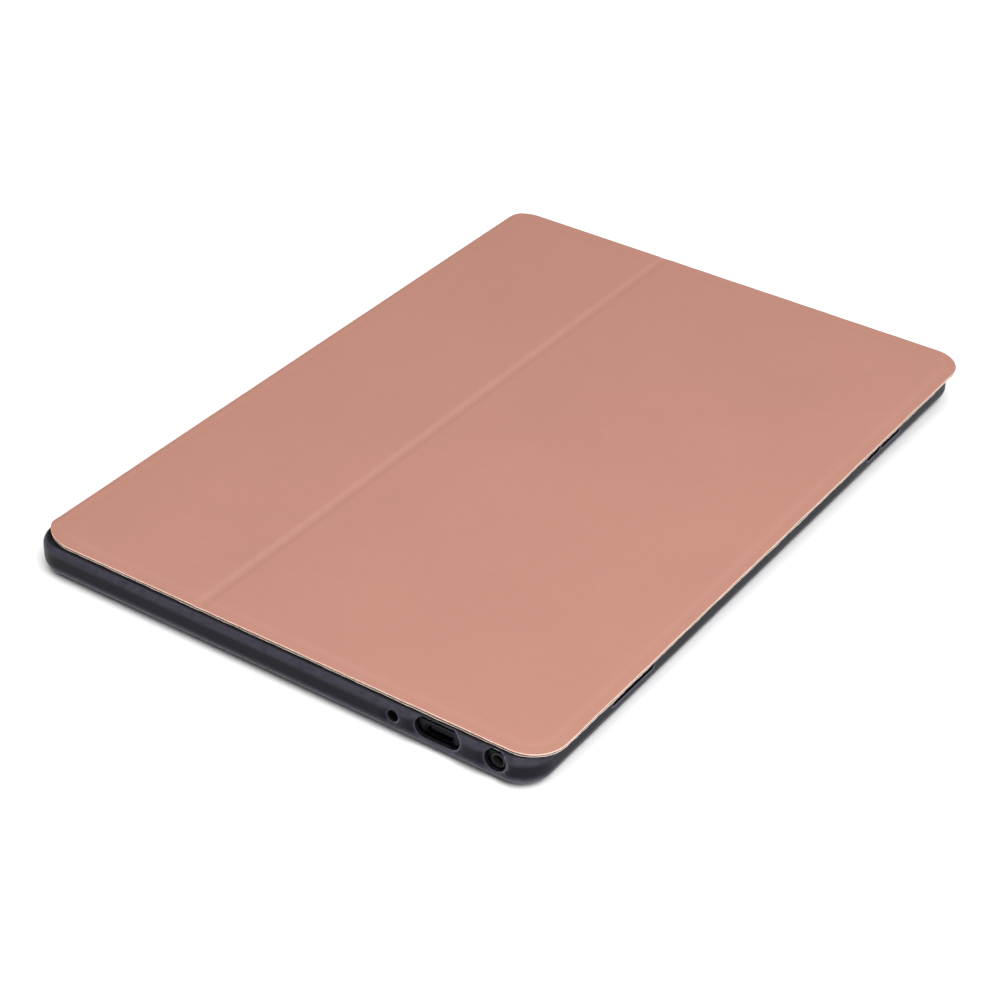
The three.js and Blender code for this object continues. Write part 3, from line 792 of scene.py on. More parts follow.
def carry(made, **numbers):
    """Stores numbers at each vertex of a bmesh, to be read after it is tidied."""
    for name, values in numbers.items():
        layer = made.verts.layers.float.new(name)
        for vertex, value in zip(made.verts, np.asarray(values, float).ravel().tolist()):
            vertex[layer] = value


def taken(piece, *names):
    """Reads back numbers stored at each vertex, and removes them."""
    found = []
    for name in names:
        layer = piece.data.attributes[name]
        values = np.empty(len(piece.data.vertices), np.float32)
        layer.data.foreach_get("value", values)
        piece.data.attributes.remove(layer)
        found.append(values.astype(float))
    return found


def cover_grid():
    """Stations along X, dense at the crease, and along Y, dense at the dent."""
    low, high = COVER_MID - COVER_CORE, COVER_MID + COVER_CORE
    xs = stations(low[0], high[0], 3.0, (SEAM_X, CREASE_X + 2.6, 0.22))
    ys = stations(low[1], high[1], 3.0, (DENT_XY[1] - 3, DENT_XY[1] + 3, 0.5))
    return xs, ys


def cover_plate(section_in, xs, ys):
    """A thin sheet with the cover's outline: rings from the section, and grids for both faces.

    Gives its plan, faces, distance in from the outline, section number and outward normal.
    """
    path, facing = outline(COVER_MID, COVER_HALF, COVER_RADIUS, xs, ys, 12)
    rings = len(section_in)
    flat = (path[:, None, :] - facing[:, None, :] * section_in[None, :, None]).reshape(-1, 2)
    index = np.tile(np.arange(rings), len(path))
    grid = np.stack([a.ravel() for a in np.meshgrid(xs, ys, indexing="ij")], 1)
    depth = (COVER_HALF - np.abs(grid - COVER_MID)).min(1)
    squares = ring_faces(len(xs), len(ys), False, False) + len(flat)
    points = np.concatenate([flat, grid, grid])
    inward = np.concatenate([section_in[index], depth, depth])
    number = np.concatenate([index, np.zeros(len(grid)), np.full(len(grid), rings - 1)]).astype(int)
    faces = np.concatenate(
        [ring_faces(len(path), rings, True, False), squares, squares[:, ::-1] + len(grid)])
    normal = np.concatenate([np.repeat(facing, rings, 0), np.zeros((2 * len(grid), 2))])
    return points, faces, inward, number, normal


def keep_beyond(made, x, side=1):
    """Cuts away everything short of x, seen towards +X, or past it when side is -1."""
    geometry = made.verts[:] + made.edges[:] + made.faces[:]
    bmesh.ops.bisect_plane(made, geom=geometry, dist=0.002, plane_co=(x, 0, 0),
                           plane_no=(side, 0, 0), clear_inner=True)


def make_cover_leather(settings):
    """The leather over the wide panel, across the crease to the seam."""
    xs, ys = cover_grid()
    xs = np.r_[COVER_MID[0] - COVER_CORE[0], xs[xs >= SEAM_X - 1e-6]]
    plan, faces, inward, number, normal = cover_plate(SECTION_IN, xs, ys)
    part, down = SECTION_PART[number], SECTION_DOWN[number]
    x, y = plan.T
    wobble = waves(x, y, (0.035, 2.3, 2.9, 0.3), (0.03, 7.1, -5.7, 1.2), (0.02, 0.9, 1.1, 2.2))
    shifted = plan + normal * (wobble * (inward < 0.5) * (part <= EDGE))[:, None]
    z = COVER_TOP + skin_height(x, y, inward, part, down, 1.0, settings)
    made = bmesh_of(np.column_stack([shifted, z]), faces)
    carry(made, inward=inward, part=part, down=down)
    keep_beyond(made, SEAM_X)
    piece = add_piece("cover_leather", tidy(made), "rose_leather", 60)
    inward, part, down = taken(piece, "inward", "part", "down")
    leather_masks(piece, points_of(piece) * [1, 1, 0], inward, np.round(part), down, 0)
    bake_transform(piece)
    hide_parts("cover_leather_wide")


def bent_path(flat, centre_z, up, seam_z):
    """A path in XZ: along a flat, a quarter turn round the spine's edge, and on to the seam.

    Gives the skin, its outward normals and the same path laid flat. up is 1 for the spine's upper
    edge and -1 for its lower one, and the turn is centre + BEND * (-sin a, up * cos a).
    """
    turn = np.radians(np.linspace(0, 90, 15)[1:])
    around = np.stack([-np.sin(turn), up * np.cos(turn)], 1)
    skin = np.concatenate([
        np.stack([flat, np.full(len(flat), centre_z + up * BEND)], 1),
        np.array([BEND_CENTRE_X, centre_z]) + BEND * around,
        [(SPINE_X, seam_z)],
    ])
    facing = np.concatenate([np.tile([0.0, up], (len(flat), 1)), around, [(-1.0, 0.0)]])
    end = BEND_CENTRE_X - BEND * np.pi / 2 - abs(seam_z - centre_z)
    return skin, facing, np.concatenate([flat, BEND_CENTRE_X - BEND * turn, [end]])


def corner_drop(slant):
    """How far a corner's arc has left its side, as a share of its radius."""
    return 1 - np.sqrt(1 - slant**2)


def widening(slant):
    """How much wider the edge section runs across a corner's arc, at most twice."""
    return np.minimum(1 / np.sqrt(np.maximum(1 - slant**2, 0.16)), 2.0)


def bent_sheet(name, path, low, high, scale, border, height, ys_share):
    """A sheet carried along a bent path in XZ, with a closed section across it in Y.

    path is what bent_path gives. low and high are the sheet's edges in Y, and scale widens the
    edge section where the outline runs at a slant. A point is skin + facing * height.
    """
    skin, facing, flat_x = path
    interior = ys_share[1:-1]
    inside = np.full(len(interior), FAR_IN)
    runs = (  # distance in, side, share of the way across, part, distance down
        (EDGE_IN[::-1], -1, 0, EDGE, EDGE_DOWN[::-1]), (TOP_RUN[::-1], -1, 0, TOP, 0),
        (inside, 0, interior, TOP, 0), (TOP_RUN, 1, 0, TOP, 0), (EDGE_IN, 1, 0, EDGE, EDGE_DOWN),
        (UNDER_RUN, 1, 0, UNDER, SHEET), (inside, 0, interior[::-1], UNDER, SHEET),
        (UNDER_RUN[::-1], -1, 0, UNDER, SHEET),
    )
    inward, side, share, part, down = (
        np.concatenate([np.broadcast_to(run[i], run[0].shape) for run in runs]) for i in range(5))
    inner_low, inner_high = low + TOP_RUN[0], high - TOP_RUN[0]
    reach = np.minimum(inward, 1.7) * (1 - ease((inward - 5) / 5.5))
    inset = inward[None, :] + reach[None, :] * (scale[:, None] - 1)
    y = np.where(side == -1, low[:, None] + inset, high[:, None] - inset)
    across = inner_low[:, None] + (inner_high - inner_low)[:, None] * share[None, :]
    y = np.where(side == 0, across, y)
    x = np.broadcast_to(flat_x[:, None], y.shape)
    inward, part, down = (np.broadcast_to(a[None, :], y.shape) for a in (inward, part, down))
    lift = height(x, y, inward, part, down, np.broadcast_to(border[:, None], y.shape))
    place = skin[:, None, :] + facing[:, None, :] * lift[:, :, None]
    points = np.stack([place[..., 0], y, place[..., 1]], 2).reshape(-1, 3)
    made = bmesh_of(points, ring_faces(len(skin), y.shape[1], False, True))
    carry(made, inward=inward, part=part, down=down, flat_x=x)
    return add_piece(name, tidy(made), "rose_leather", 60)


def paint_bent(piece):
    """Paints a bent sheet's masks, with its skin a little stretched round the fold."""
    inward, part, down, flat_x = taken(piece, "inward", "part", "down", "flat_x")
    fold_x = BEND_CENTRE_X - BEND * np.pi / 4
    fold = 0.45 * np.exp(-(((flat_x - fold_x) / 2.2) ** 2)) * (part < 0.5)
    laid = np.column_stack([flat_x, points_of(piece)[:, 1], 0 * flat_x])
    leather_masks(piece, laid, inward, np.round(part), down, fold)


def make_spine_leather(settings):
    """The leather over the narrow panel and round the upper edge of the spine."""
    xs, ys = cover_grid()
    flat = np.unique(np.r_[xs[xs <= SEAM_X + 1e-6], stations(BEND_CENTRE_X, -70.0, 1.0)])[::-1]
    path = bent_path(flat, COVER_TOP - BEND, 1, STRIP_SEAM_Z)
    skin, _, flat_x = path
    near_radius = settings.near_corner
    slant = np.clip((COVER_LOW[0] + COVER_RADIUS - skin[:, 0]) / COVER_RADIUS, 0, 1)
    tuck = np.clip((COVER_LOW[0] + near_radius - skin[:, 0]) / near_radius, 0, 1)
    high = COVER_HIGH[1] - COVER_RADIUS * corner_drop(slant)
    low = COVER_LOW[1] + near_radius * corner_drop(tuck)
    scale = widening(slant)
    scale[-3:] = 1.0
    border = 1 - ease((BEND_CENTRE_X + 1.5 - flat_x) / (BEND * np.pi / 2))

    def height(x, y, inward, part, down, edge):
        """The cover's skin, with a groove where the narrow panel's board ends."""
        board_end = 0.13 * np.exp(-(((x - BEND_CENTRE_X - 1.2) / 0.9) ** 2)) * (part == TOP)
        return skin_height(x, y, inward, part, down, edge, settings) - board_end

    share = (ys - ys[0]) / (ys[-1] - ys[0])
    piece = bent_sheet("spine_leather", path, low, high, scale, border, height, share)
    paint_bent(piece)
    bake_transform(piece)
    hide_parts("spine_strip", "cover_leather_narrow")


def make_back_leather():
    """The leather back, set into the tray, and the lower edge of the spine."""
    radius = 8.0
    right = BACK_HIGH[0]
    swing = np.radians(np.linspace(90, 0, 12))
    corner = right - radius + radius * np.sin(swing)
    flat = np.unique(np.r_[corner, stations(BEND_CENTRE_X, right - radius, 4.0)])[::-1]
    path = bent_path(flat, BEND, -1, STRIP_SEAM_Z)
    skin, _, flat_x = path
    slant = np.clip((skin[:, 0] - right + radius) / radius, 0, 1)
    arc = BACK_HALF[1] - radius * corner_drop(slant)
    join = ease((BEND_CENTRE_X + 8 - flat_x) / 14)
    low = (BACK_MID[1] - arc) * (1 - join) - STRIP_HALF * join
    high = (BACK_MID[1] + arc) * (1 - join) + STRIP_HALF * join

    def height(x, y, inward, part, down, _):
        """A nearly flat sheet with a slow ripple, thinner where it leaves the back."""
        ripple = waves(x, y, (0.02, 23, 37, 0.2), (0.012, -9, 15, 1.4))
        top = -0.06 + 0.03 * np.clip(ripple / 0.032, -1, 1) * ease(inward / 3)
        under = -0.16 - 0.9 * ease((right - x) / 0.5)
        return np.select([part == TOP, part == EDGE], [top, -0.06 - down * 1.5], under)

    piece = bent_sheet("back_leather", path, low, high, widening(slant), 0 * flat_x, height,
                       np.linspace(0, 1, 60))
    carve(piece, camera_cutter(3))
    paint_bent(piece)
    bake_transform(piece)
    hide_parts("back_panel", "lower_hinge_leather")


def make_lining(settings):
    """The lining under both panels, trimmed by hand a little inside the leather."""
    under, over = span("cover_lining_wide")[0][2], span("cover_lining_wide")[1][2]
    xs, ys = cover_grid()
    rows = stations(ys[0], ys[-1], 1.5)
    section = np.array([10.5, 5.0, 1.5, 0.24, 0.12, 0.12, 0.24, 1.5, 5.0, 10.5])
    rise = np.array([0, 0, 0, 0, 0.06, 0.24, 0.3, 0.3, 0.3, 0.3])
    left, right = (COVER_MID[0] + end * COVER_CORE[0] for end in (-1, 1))
    wide = np.unique(np.r_[left, xs[xs >= SEAM_X - 1e-6], stations(0, right, 1.5)])
    narrow = np.unique(np.r_[left, stations(left, SEAM_X, 1.5), -60, -44, SEAM_X, right])
    corner = COVER_LOW[:2] + settings.near_corner
    for node_name, columns, side in (
        ("cover_lining_wide", wide, 1), ("cover_lining_narrow", narrow, -1)
    ):
        plan, faces, inward, number, normal = cover_plate(section, columns, rows)
        x, y = plan.T
        ragged = waves(x, y, (0.05, 1.9, 2.3, 0.9), (0.05, 0.8, 0.7, 2.0), (0.06, 11, 13, 0.1),
                       (0.03, 4.1, 3.3, 1.1))
        plan = plan + normal * (ragged * (inward < 1.0))[:, None]
        if side < 0:
            away = plan - corner
            reach = np.hypot(*away.T)
            outside = (away.max(1) < 0) & (reach > settings.near_corner - inward)
            tucked = corner + away * ((settings.near_corner - inward) / reach)[:, None]
            plan = np.where(outside[:, None], tucked, plan)
        sag = 0.05 * (waves(x, y, (1, 13, 17, 0.5)) - 1) * (inward < 2)
        lift = rise[number]
        z = over - lift + np.maximum(sag, under - over + lift) * (lift < 0.2)
        made = bmesh_of(np.column_stack([plan, z]), faces)
        carry(made, number=number)
        keep_beyond(made, SEAM_X, side)
        if side < 0:
            keep_beyond(made, BEND_CENTRE_X + 0.3)
        name = node_name.replace("cover_", "") + "_cloth"
        piece = add_piece(name, tidy(made), "lining_cloth", 60)
        number = np.round(*taken(piece, "number"))
        paint(piece, "laid_flat", points_of(piece) * [MM, MM, 0])
        # Marks the lining's raw edge, which is paler and also painted lighter against the leather's
        # shade.
        paint(piece, "pale_edge_and_painted_light", ((number > 3.5) & (number < 5.5)).astype(float))
        if side > 0:
            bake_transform(piece)
        else:
            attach(piece, "narrow_panel")
        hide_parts(node_name)


# ---------------------------------------------------------------- tray


WINDOWS = {  # on the near wall: centre x, centre z, half width, half height, dish width
    "usb": (USB_X, WINDOW_Z, 7.1, 3.1, 2.2),
    "jack": (JACK_X, WINDOW_Z, 3.3, 3.3, 2.4),
    "mic": (MIC_X, PORT_Z + 0.25, 1.7, 1.7, 2.0),
}
KEY_WINDOWS = ((60.6, 68.6), (69.9, 82.2), (-85.4, -64.8))  # low and high y, on the other wall
KEY_WINDOW_Z, KEY_WINDOW_HALF, KEY_WINDOW_RADIUS = 7.7, 2.05, 0.7


def window_distance(x, z, window):
    """How far each point of the near wall lies outside one of its round-ended windows."""
    mid_x, mid_z, half_x, half_z, _ = window
    return beyond(np.stack([x, z], -1), (mid_x, mid_z), (half_x, half_z), min(half_x, half_z))


def tray_section(settings):
    """Section of the tray from its underside round the wall to its floor, clear of the lip."""
    quarter = np.radians(np.linspace(0, 90, 10))
    foot = settings.foot_radius
    low = np.stack([-foot + foot * np.sin(quarter), TRAY_LOW[2] + foot - foot * np.cos(quarter)], 1)
    few = np.radians(np.linspace(0, 90, 8))
    top_z = TRAY_HIGH[2]
    high = np.stack([-2.4 + 2.4 * np.cos(few), top_z - 2.4 + 2.4 * np.sin(few)], 1)
    side = np.stack([np.zeros(8), np.linspace(low[-1, 1], high[0, 1], 10)[1:-1]], 1)
    lip = np.array([(-2.9, top_z), (-3.2, top_z - 0.08), (-3.36, top_z - 0.25), (-3.4, top_z - 0.5),
                    (-3.4, 9.9), (-3.3, 9.8), (-2.1, 9.8), (-2.0, 9.7)])
    round_in = np.radians(np.linspace(0, 90, 5))
    seat = np.stack([-3.8 + 1.8 * np.cos(round_in), 4.1 - 1.8 * np.sin(round_in)], 1)
    return np.concatenate([
        [(-TRAY_RADIUS, TRAY_LOW[2]), (-7.0, TRAY_LOW[2])], low, side, high, lip, seat,
        [(-7.0, 2.3), (-TRAY_RADIUS, 2.3)],
    ])


def make_tray(settings):
    """The soft tray: one wall section swept round, with dished and flared windows cut in it."""
    low, high = TRAY_MID - TRAY_CORE, TRAY_MID + TRAY_CORE
    xs = stations(low[0], high[0], 5.0, (36.0, high[0], 0.4))
    ys = stations(low[1], high[1], 4.0, (58, 86, 1.0), (-88, -44, 1.0))
    made = swept_plate(TRAY_MID, TRAY_HALF, TRAY_RADIUS, tray_section(settings), xs, ys, 14)
    points = np.array([v.co for v in made.verts])
    x, y, z = points.T
    sunk = settings.dish_depth * np.max(
        [1 - ease(window_distance(x, z, window) / window[4]) for window in WINDOWS.values()], 0)
    outer = (y < NEAR_WALL + 1.7) & (z < 10.75)
    y = y + np.where(outer, sunk * np.clip((10.8 - z) / 0.6, 0, 1), 0)
    relief = ease((y + 88) / 2) * (1 - ease((y + 51.5) / 1.5))
    rim = (x > SIDE_WALL - 4) * np.clip((z - 9.9) / 0.9, 0, 1)
    z = z - 0.45 * relief * rim
    for vertex, place in zip(made.verts, np.stack([x, y, z], 1).tolist()):
        vertex.co = place
    piece = add_piece("soft_tray", tidy(made), "soft_black", TRAY_SHARP)
    lip = settings.window_lip
    cutters = []
    for name, (mid_x, mid_z, half_x, half_z, _) in WINDOWS.items():
        flare = lip * (0.7 if name == "mic" else 1.0)
        cutters.append(flared_cutter((half_x, half_z), min(half_x, half_z) - 0.01,
                                     near_place(mid_x, mid_z), flare, settings.dish_depth * 0.8))
    for low, high in KEY_WINDOWS:
        cutters.append(flared_cutter(((high - low) / 2, KEY_WINDOW_HALF), KEY_WINDOW_RADIUS,
                                     side_place((low + high) / 2, KEY_WINDOW_Z), lip, 0.0, 1.3))
    for x_mid in (middle("speaker_left")[0], middle("speaker_right")[0]):
        cutters.append(flared_cutter((9.0, 1.7), 1.69, far_place(x_mid, PORT_Z), lip, 0.0))
    cutters.append(camera_cutter(4))
    cutters.append(block_cutter(BACK_MID, BACK_HALF + 0.3, 8.3, -2, 1.0))
    start, end = SPINE_X - 2, BACK_LOW[0] + 4  # room for the leather where it leaves the back
    cutters.append(block_cutter(((start + end) / 2, BACK_MID[1]),
                                ((end - start) / 2, BACK_HALF[1] + 0.3), 0.2, -3, 1.45, 2))
    carve(piece, *cutters)
    paint_windows(piece, lip)
    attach(piece, "tablet_in_tray")
    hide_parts("case_tray")


def paint_windows(piece, lip):
    """Paints highlights on the windows' lips, painted reflections on the foot and the shoulder, and
    painted shade inside the windows and on the rim under the cover.
    """
    x, y, z = points_of(piece).T
    near, side = y < NEAR_WALL + 3, x > SIDE_WALL - 3
    places = []
    for window in WINDOWS.values():
        # Painted highlight on each port's lip, brighter on its side towards the key light.
        bright = 0.3 + 0.7 * ease((x - window[0]) / window[2])
        places.append((near * bright, window_distance(x, z, window)))
    for low, high in KEY_WINDOWS:
        mid, half = ((low + high) / 2, KEY_WINDOW_Z), ((high - low) / 2, KEY_WINDOW_HALF)
        # Painted highlight on the keys' windows, strongest on the lower sill.
        places.append((side * np.where(z < 6.2, 1.0, 0.4),
                       beyond(np.stack([y, z], 1), mid, half, KEY_WINDOW_RADIUS)))
    # Painted shadow on the tray's rim from 10.3 mm up, under the cover's overhanging edge.
    lips, painted_shade = np.zeros(len(x)), 0.9 * ease((z - 10.3) / 0.3)
    for here, away in places:
        # A painted highlight round each window's lip, and painted shade on its cut sides.
        worn = here * (away > 0.03) * (1 - ease((away - 0.1) / (lip + 0.2)))
        lips = np.maximum(lips, worn)
        painted_shade = np.maximum(painted_shade, (here > 0) * (np.abs(away) < 0.03))
    outer = beyond(np.stack([x, y], 1), TRAY_MID, TRAY_HALF, TRAY_RADIUS)
    # Painted reflections: the floor's in a band on the foot, the overhead light's on the shoulder.
    foot = 0.62 * ease((z - 0.9) / 0.6) * (1 - ease((z - 2.2) / 2.8)) * (outer > -4.2)
    shoulder = 0.30 * ease((z - 7.4) / 1.8) * (outer > -1.9)
    paint(piece, "rubbed", np.maximum.reduce([lips, foot, shoulder]))
    paint(piece, "painted_shade_mask", painted_shade)


# ---------------------------------------------------------------- tablet


def make_glass():
    """The cover glass: flat, with its upper edge rounded over a quarter of an ellipse."""
    low, high = span("display_glass")
    mid, half = (low + high)[:2] / 2, (high - low)[:2] / 2
    radius = 7.1
    turn = np.radians(np.linspace(0, 90, 7))
    edge = np.stack([-0.9 + 0.9 * np.sin(turn), high[2] - 0.45 + 0.45 * np.cos(turn)], 1)
    ring = np.concatenate([
        [(-radius, high[2])], edge, [(0, low[2] + 0.1), (-0.1, low[2]), (-radius, low[2])]
    ])
    made = tidy(swept_plate(mid, half, radius, ring, *side_ends(mid, half, radius), 16))
    piece = add_piece("cover_glass", made, "black_glass", 30)
    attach(piece, "tablet_in_tray")
    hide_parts("display_glass")


def make_softened(node_name, piece_name, body, width, segments):
    """A copy of a CAD node with its doubles merged, its flats joined and its edges rounded."""
    made = bmesh.new()
    made.from_mesh(frame["nodes"][node_name].data)
    bmesh.ops.scale(made, vec=(1 / MM, 1 / MM, 1 / MM), verts=made.verts)
    bmesh.ops.remove_doubles(made, verts=made.verts, dist=0.002)
    bmesh.ops.dissolve_limit(made, angle_limit=np.radians(2), verts=made.verts, edges=made.edges)
    hard = [e for e in made.edges
            if e.is_manifold and e.calc_face_angle(0) > np.radians(50) and e.calc_length() > 0.5]
    bmesh.ops.bevel(made, geom=hard, offset=width, offset_type="OFFSET", segments=segments,
                    profile=0.5, affect="EDGES", clamp_overlap=True)
    bmesh.ops.recalc_face_normals(made, faces=made.faces)
    piece = add_piece(piece_name, made, "anodised_shell", 35)
    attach(piece, body)
    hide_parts(node_name)


def make_camera_window():
    """The rear lens: a turned bezel, a stepped black hood and a domed glass."""
    low, high = span("rear_camera_lens")
    radius, thick = (high - low)[0] / 2, (high - low)[2]
    section = np.array([
        (0, 0.28), (1.1, 0.33), (1.9, 0.5), (2.0, 0.22), (2.6, 0.22), (2.65, 0.12), (3.0, 0.12),
        (3.05, 0.02), (radius - 0.15, 0), (radius, 0.12), (radius, thick), (0, thick),
    ])
    made = turned(CAMERA_XY, section + [0, low[2]])
    piece = add_piece("rear_lens", made, "black_glass", 25)
    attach(piece, "tablet_in_tray")
    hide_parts("rear_camera_lens")


# ---------------------------------------------------------------- stage


CAMERA_RIGHT = (0.82737433, 0.5610111, 0.02680038)  # the camera's own axes
CAMERA_UP = (-0.33295301, 0.45148957, 0.82782816)


def make_stage(settings):
    """A plain pale floor, soft lights and the camera."""
    across = np.linspace(-6.0, 6.0, 9)
    gx, gy = (a.ravel() for a in np.meshgrid(across, across, indexing="ij"))
    faces = ring_faces(len(across), len(across), False, False)
    mesh = bpy.data.meshes.new("floor")
    mesh.from_pydata(np.column_stack([gx, gy, 0 * gx]).tolist(), [], faces.tolist())
    floor = bpy.data.objects.new("floor", mesh)
    bpy.context.scene.collection.objects.link(floor)
    material, tree, shader = new_material("pale_floor", Roughness=0.9, Specular_IOR_Level=0.1)
    colour = tone(tree, millimetres(tree), settings.floor_colour, 0.002, 0.004)
    feed(tree, shader, {"Base Color": colour})
    mesh.materials.append(material)

    world = bpy.data.worlds.new("studio")
    world.use_nodes = True
    feed(world.node_tree, world.node_tree.nodes["Background"],
         {"Color": (1.0, 1.0, 1.0, 1.0), "Strength": settings.room_light})
    scene = bpy.context.scene
    scene.world = world
    scene.view_settings.view_transform = "Standard"

    for name, place, size, power in (
        ("key_light", (0.55, -0.30, 0.62), 0.6, settings.key_light),
        ("overhead_light", (0.10, -0.10, 1.50), 2.2, settings.overhead_light),
    ):
        light = bpy.data.lights.new(name, "AREA")
        light.shape, light.size, light.size_y = "RECTANGLE", size, size
        light.energy = power
        lamp = bpy.data.objects.new(name, light)
        lamp.location = place
        lamp.rotation_mode = "QUATERNION"
        lamp.rotation_quaternion = (-Vector(place)).to_track_quat("-Z", "Y")
        scene.collection.objects.link(lamp)

    camera_data = bpy.data.cameras.new("camera")
    camera_data.sensor_width = 36.0
    camera_data.lens = settings.camera_lens
    camera_data.clip_start, camera_data.clip_end = 0.01, 50
    camera = bpy.data.objects.new("camera", camera_data)
    right = Vector(CAMERA_RIGHT).normalized()
    up = Vector(CAMERA_UP).normalized()
    back = right.cross(up).normalized()
    turn = Matrix((right, up, back)).transposed().to_4x4()
    camera.matrix_world = Matrix.Translation(Vector(settings.camera_place)) @ turn
    scene.collection.objects.link(camera)
    scene.camera = camera


# ---------------------------------------------------------------- settings


def shade(name, text, value):
    """A colour setting."""
    return FloatVectorProperty(name=name, description=text, subtype="COLOR", size=3, min=0, max=1,
                               default=value)


def amount(name, text, value, low=0.0, high=5.0):
    """A plain number setting."""
    return FloatProperty(name=name, description=text, default=value, min=low, max=high)


class FolioCaseSettings(bpy.types.PropertyGroup):
    """Sizes, in millimetres, and colours of the leather and the tray."""

    leather_colour: shade("Leather", "Colour of the coated leather", (0.373, 0.176, 0.132))
    # The cut edge's pale colour, brightened with a painted highlight on the edge's rounding.
    pale_edge_and_light_colour: shade("Cut edge", "Colour of the leather's pale cut edge", (0.78, 0.55, 0.45))
    lining_colour: shade("Lining", "Colour of the brushed lining", (0.26, 0.23, 0.21))
    tray_colour: shade("Tray", "Colour of the moulded tray", (0.0075, 0.0075, 0.012))
    tray_roughness: amount("Tray roughness", "How matt the moulded tray is", 0.40, 0.05, 1.0)
    grain_size: amount("Grain", "Width of one pebble of the leather's grain, mm", 0.6, 0.2, 3.0)
    near_corner: amount("Near corner", "Radius of the cover's corner by the spine, mm", 15.0, 9, 20)
    board_step: amount("Board step", "How far the border lies below the boards, mm", 0.16, 0, 0.6)
    crease_depth: amount("Crease depth", "Depth of the fold line, mm", 0.17, 0.0, 0.6)
    dish_depth: amount("Dish depth", "How far the wall dips in round a port, mm", 0.8, 0.0, 1.4)
    foot_radius: amount("Foot radius", "Radius under the tray's wall, mm", 4.4, 1.0, 4.4)
    window_lip: amount("Window lip", "Radius of the rounded lip of a window, mm", 0.45, 0.1, 1.0)


class FolioTabletSettings(bpy.types.PropertyGroup):
    """Sizes and colours of the tablet."""

    # Darker than anodised grey: it paints the shade seen through the tray's windows on the shell
    # and the keys.
    shell_and_shade_colour: shade("Shell", "Colour of the anodised shell", (0.014, 0.0145, 0.018))
    glass_border: amount("Display edge", "Unlit margin inside the display panel, mm", 1.5, 0, 6)


class FolioStageSettings(bpy.types.PropertyGroup):
    """The floor, the lights and the camera."""

    floor_colour: shade("Floor", "Colour of the floor", (0.93, 0.93, 0.93))
    room_light: amount("Room light", "Strength of the even light from all round", 0.16, 0, 10)
    key_light: amount("Key light", "Power of the light beside the free edge, W", 5.6, 0, 1000)
    overhead_light: amount("Overhead light", "Power of the light overhead, W", 36.0, 0, 1000)
    camera_lens: FloatProperty(name="Lens", description="Focal length of the camera",
                               unit="CAMERA", default=88.808)
    camera_place: FloatVectorProperty(
        name="Camera", description="Where the camera stands", subtype="TRANSLATION",
        unit="LENGTH", size=3, default=(0.33504, -0.52695, 0.41278),
    )


# ---------------------------------------------------------------- operators


class FOLIO_OT_cover(bpy.types.Operator):
    """Make the leather of the cover's wide panel, across its crease"""

    bl_idname = "folio.cover"
    bl_label = "Cover leather"

    def execute(self, context):
        make_cover_leather(context.scene.folio_case)
        return {"FINISHED"}


class FOLIO_OT_spine(bpy.types.Operator):
    """Make the leather of the narrow panel and the spine's upper edge"""

    bl_idname = "folio.spine"
    bl_label = "Spine leather"

    def execute(self, context):
        make_spine_leather(context.scene.folio_case)
        return {"FINISHED"}


class FOLIO_OT_back(bpy.types.Operator):
    """Make the leather back and the spine's lower edge"""

    bl_idname = "folio.back"
    bl_label = "Back leather"

    def execute(self, context):
        make_back_leather()
        return {"FINISHED"}


class FOLIO_OT_lining(bpy.types.Operator):
    """Make the brushed lining of both panels"""

    bl_idname = "folio.lining"
    bl_label = "Lining"

    def execute(self, context):
        make_lining(context.scene.folio_case)
        return {"FINISHED"}


class FOLIO_OT_tray(bpy.types.Operator):
    """Make the soft tray with its windows"""

    bl_idname = "folio.tray"
    bl_label = "Soft tray"

    def execute(self, context):
        make_tray(context.scene.folio_case)
        return {"FINISHED"}


class FOLIO_OT_glass(bpy.types.Operator):
    """Make the cover glass over the display"""

    bl_idname = "folio.glass"
    bl_label = "Cover glass"

    def execute(self, context):
        make_glass()
        return {"FINISHED"}


class FOLIO_OT_lens(bpy.types.Operator):
    """Make the rear camera's lens window"""

    bl_idname = "folio.lens"
    bl_label = "Rear lens"

    def execute(self, context):
        make_camera_window()
        return {"FINISHED"}


class FOLIO_OT_keys(bpy.types.Operator):
    """Make the power button, the volume rocker and the card tray with rounded edges"""

    bl_idname = "folio.keys"
    bl_label = "Keys and card tray"

    def execute(self, context):
        make_softened("power_button", "power_key_cap", "power_key", 0.3, 3)
        make_softened("volume_rocker", "volume_key_cap", "volume_key", 0.3, 3)
        make_softened("card_tray", "card_sled", "card_sled", 0.12, 2)
        return {"FINISHED"}


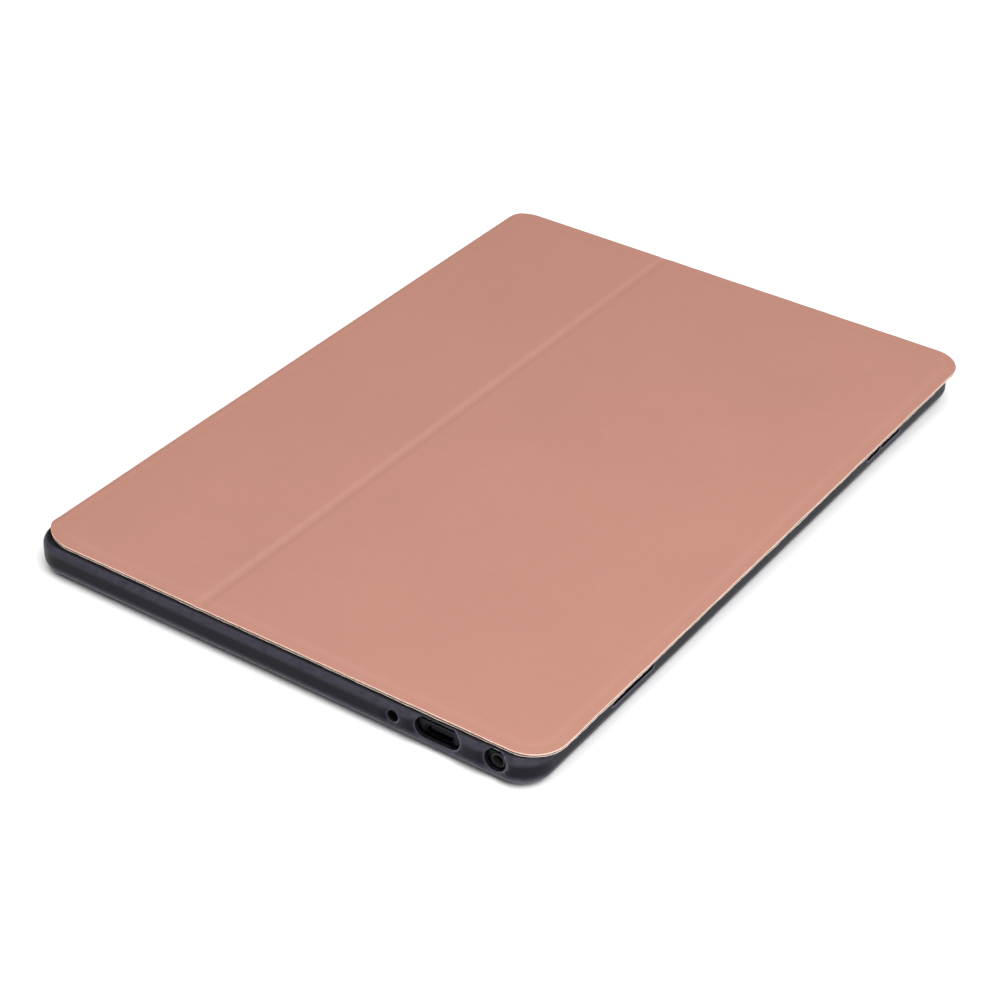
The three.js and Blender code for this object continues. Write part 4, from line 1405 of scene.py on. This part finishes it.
class FOLIO_OT_finish(bpy.types.Operator):
    """Give every CAD node that still shows its own finish"""

    bl_idname = "folio.finish"
    bl_label = "Finishes"

    def execute(self, context):
        for part in frame["record"]["subparts"]:
            # The USB connector takes the near-black metal that paints the shade inside its port
            # window.
            port_in_shade = part["node"] == "usb_connector"
            shown = frame["nodes"][part["node"]].data.materials
            shown.clear()
            shown.append(finishes()["shade_dark_nickel" if port_in_shade else part["material_slot"]])
        return {"FINISHED"}


class FOLIO_OT_stage(bpy.types.Operator):
    """Make the floor, the lights and the camera"""

    bl_idname = "folio.stage"
    bl_label = "Stage"

    def execute(self, context):
        make_stage(context.scene.folio_stage)
        return {"FINISHED"}


OPERATORS = (
    FOLIO_OT_cover, FOLIO_OT_spine, FOLIO_OT_back, FOLIO_OT_lining, FOLIO_OT_tray,
    FOLIO_OT_glass, FOLIO_OT_lens, FOLIO_OT_keys, FOLIO_OT_finish, FOLIO_OT_stage,
)


class FOLIO_PT_panel(bpy.types.Panel):
    """Sidebar panel with the folio's settings and pieces"""

    bl_idname = "FOLIO_PT_panel"
    bl_label = "Tablet in a Leather Folio"
    bl_space_type = "VIEW_3D"
    bl_region_type = "UI"
    bl_category = "Folio"

    def draw(self, context):
        scene = context.scene
        for settings in (scene.folio_case, scene.folio_tablet, scene.folio_stage):
            box = self.layout.box()
            for name in settings.__annotations__:
                box.prop(settings, name)
        for operator in OPERATORS:
            self.layout.operator(operator.bl_idname)


SETTINGS = {
    "folio_case": FolioCaseSettings,
    "folio_tablet": FolioTabletSettings,
    "folio_stage": FolioStageSettings,
}


def register():
    """Makes the add-on's classes and settings known."""
    for made in (*SETTINGS.values(), *OPERATORS, FOLIO_PT_panel):
        bpy.utils.register_class(made)
    for name, group_class in SETTINGS.items():
        setattr(bpy.types.Scene, name, PointerProperty(type=group_class))


def unregister():
    """Takes them away again."""
    for name in SETTINGS:
        delattr(bpy.types.Scene, name)
    for made in reversed((*SETTINGS.values(), *OPERATORS, FOLIO_PT_panel)):
        bpy.utils.unregister_class(made)


def main():
    register()
    bpy.ops.folio.cover()
    bpy.ops.folio.spine()
    bpy.ops.folio.back()
    bpy.ops.folio.lining()
    bpy.ops.folio.tray()
    bpy.ops.folio.glass()
    bpy.ops.folio.lens()
    bpy.ops.folio.keys()
    bpy.ops.folio.finish()
    bpy.ops.folio.stage()


if __name__ == "__main__":
    main()
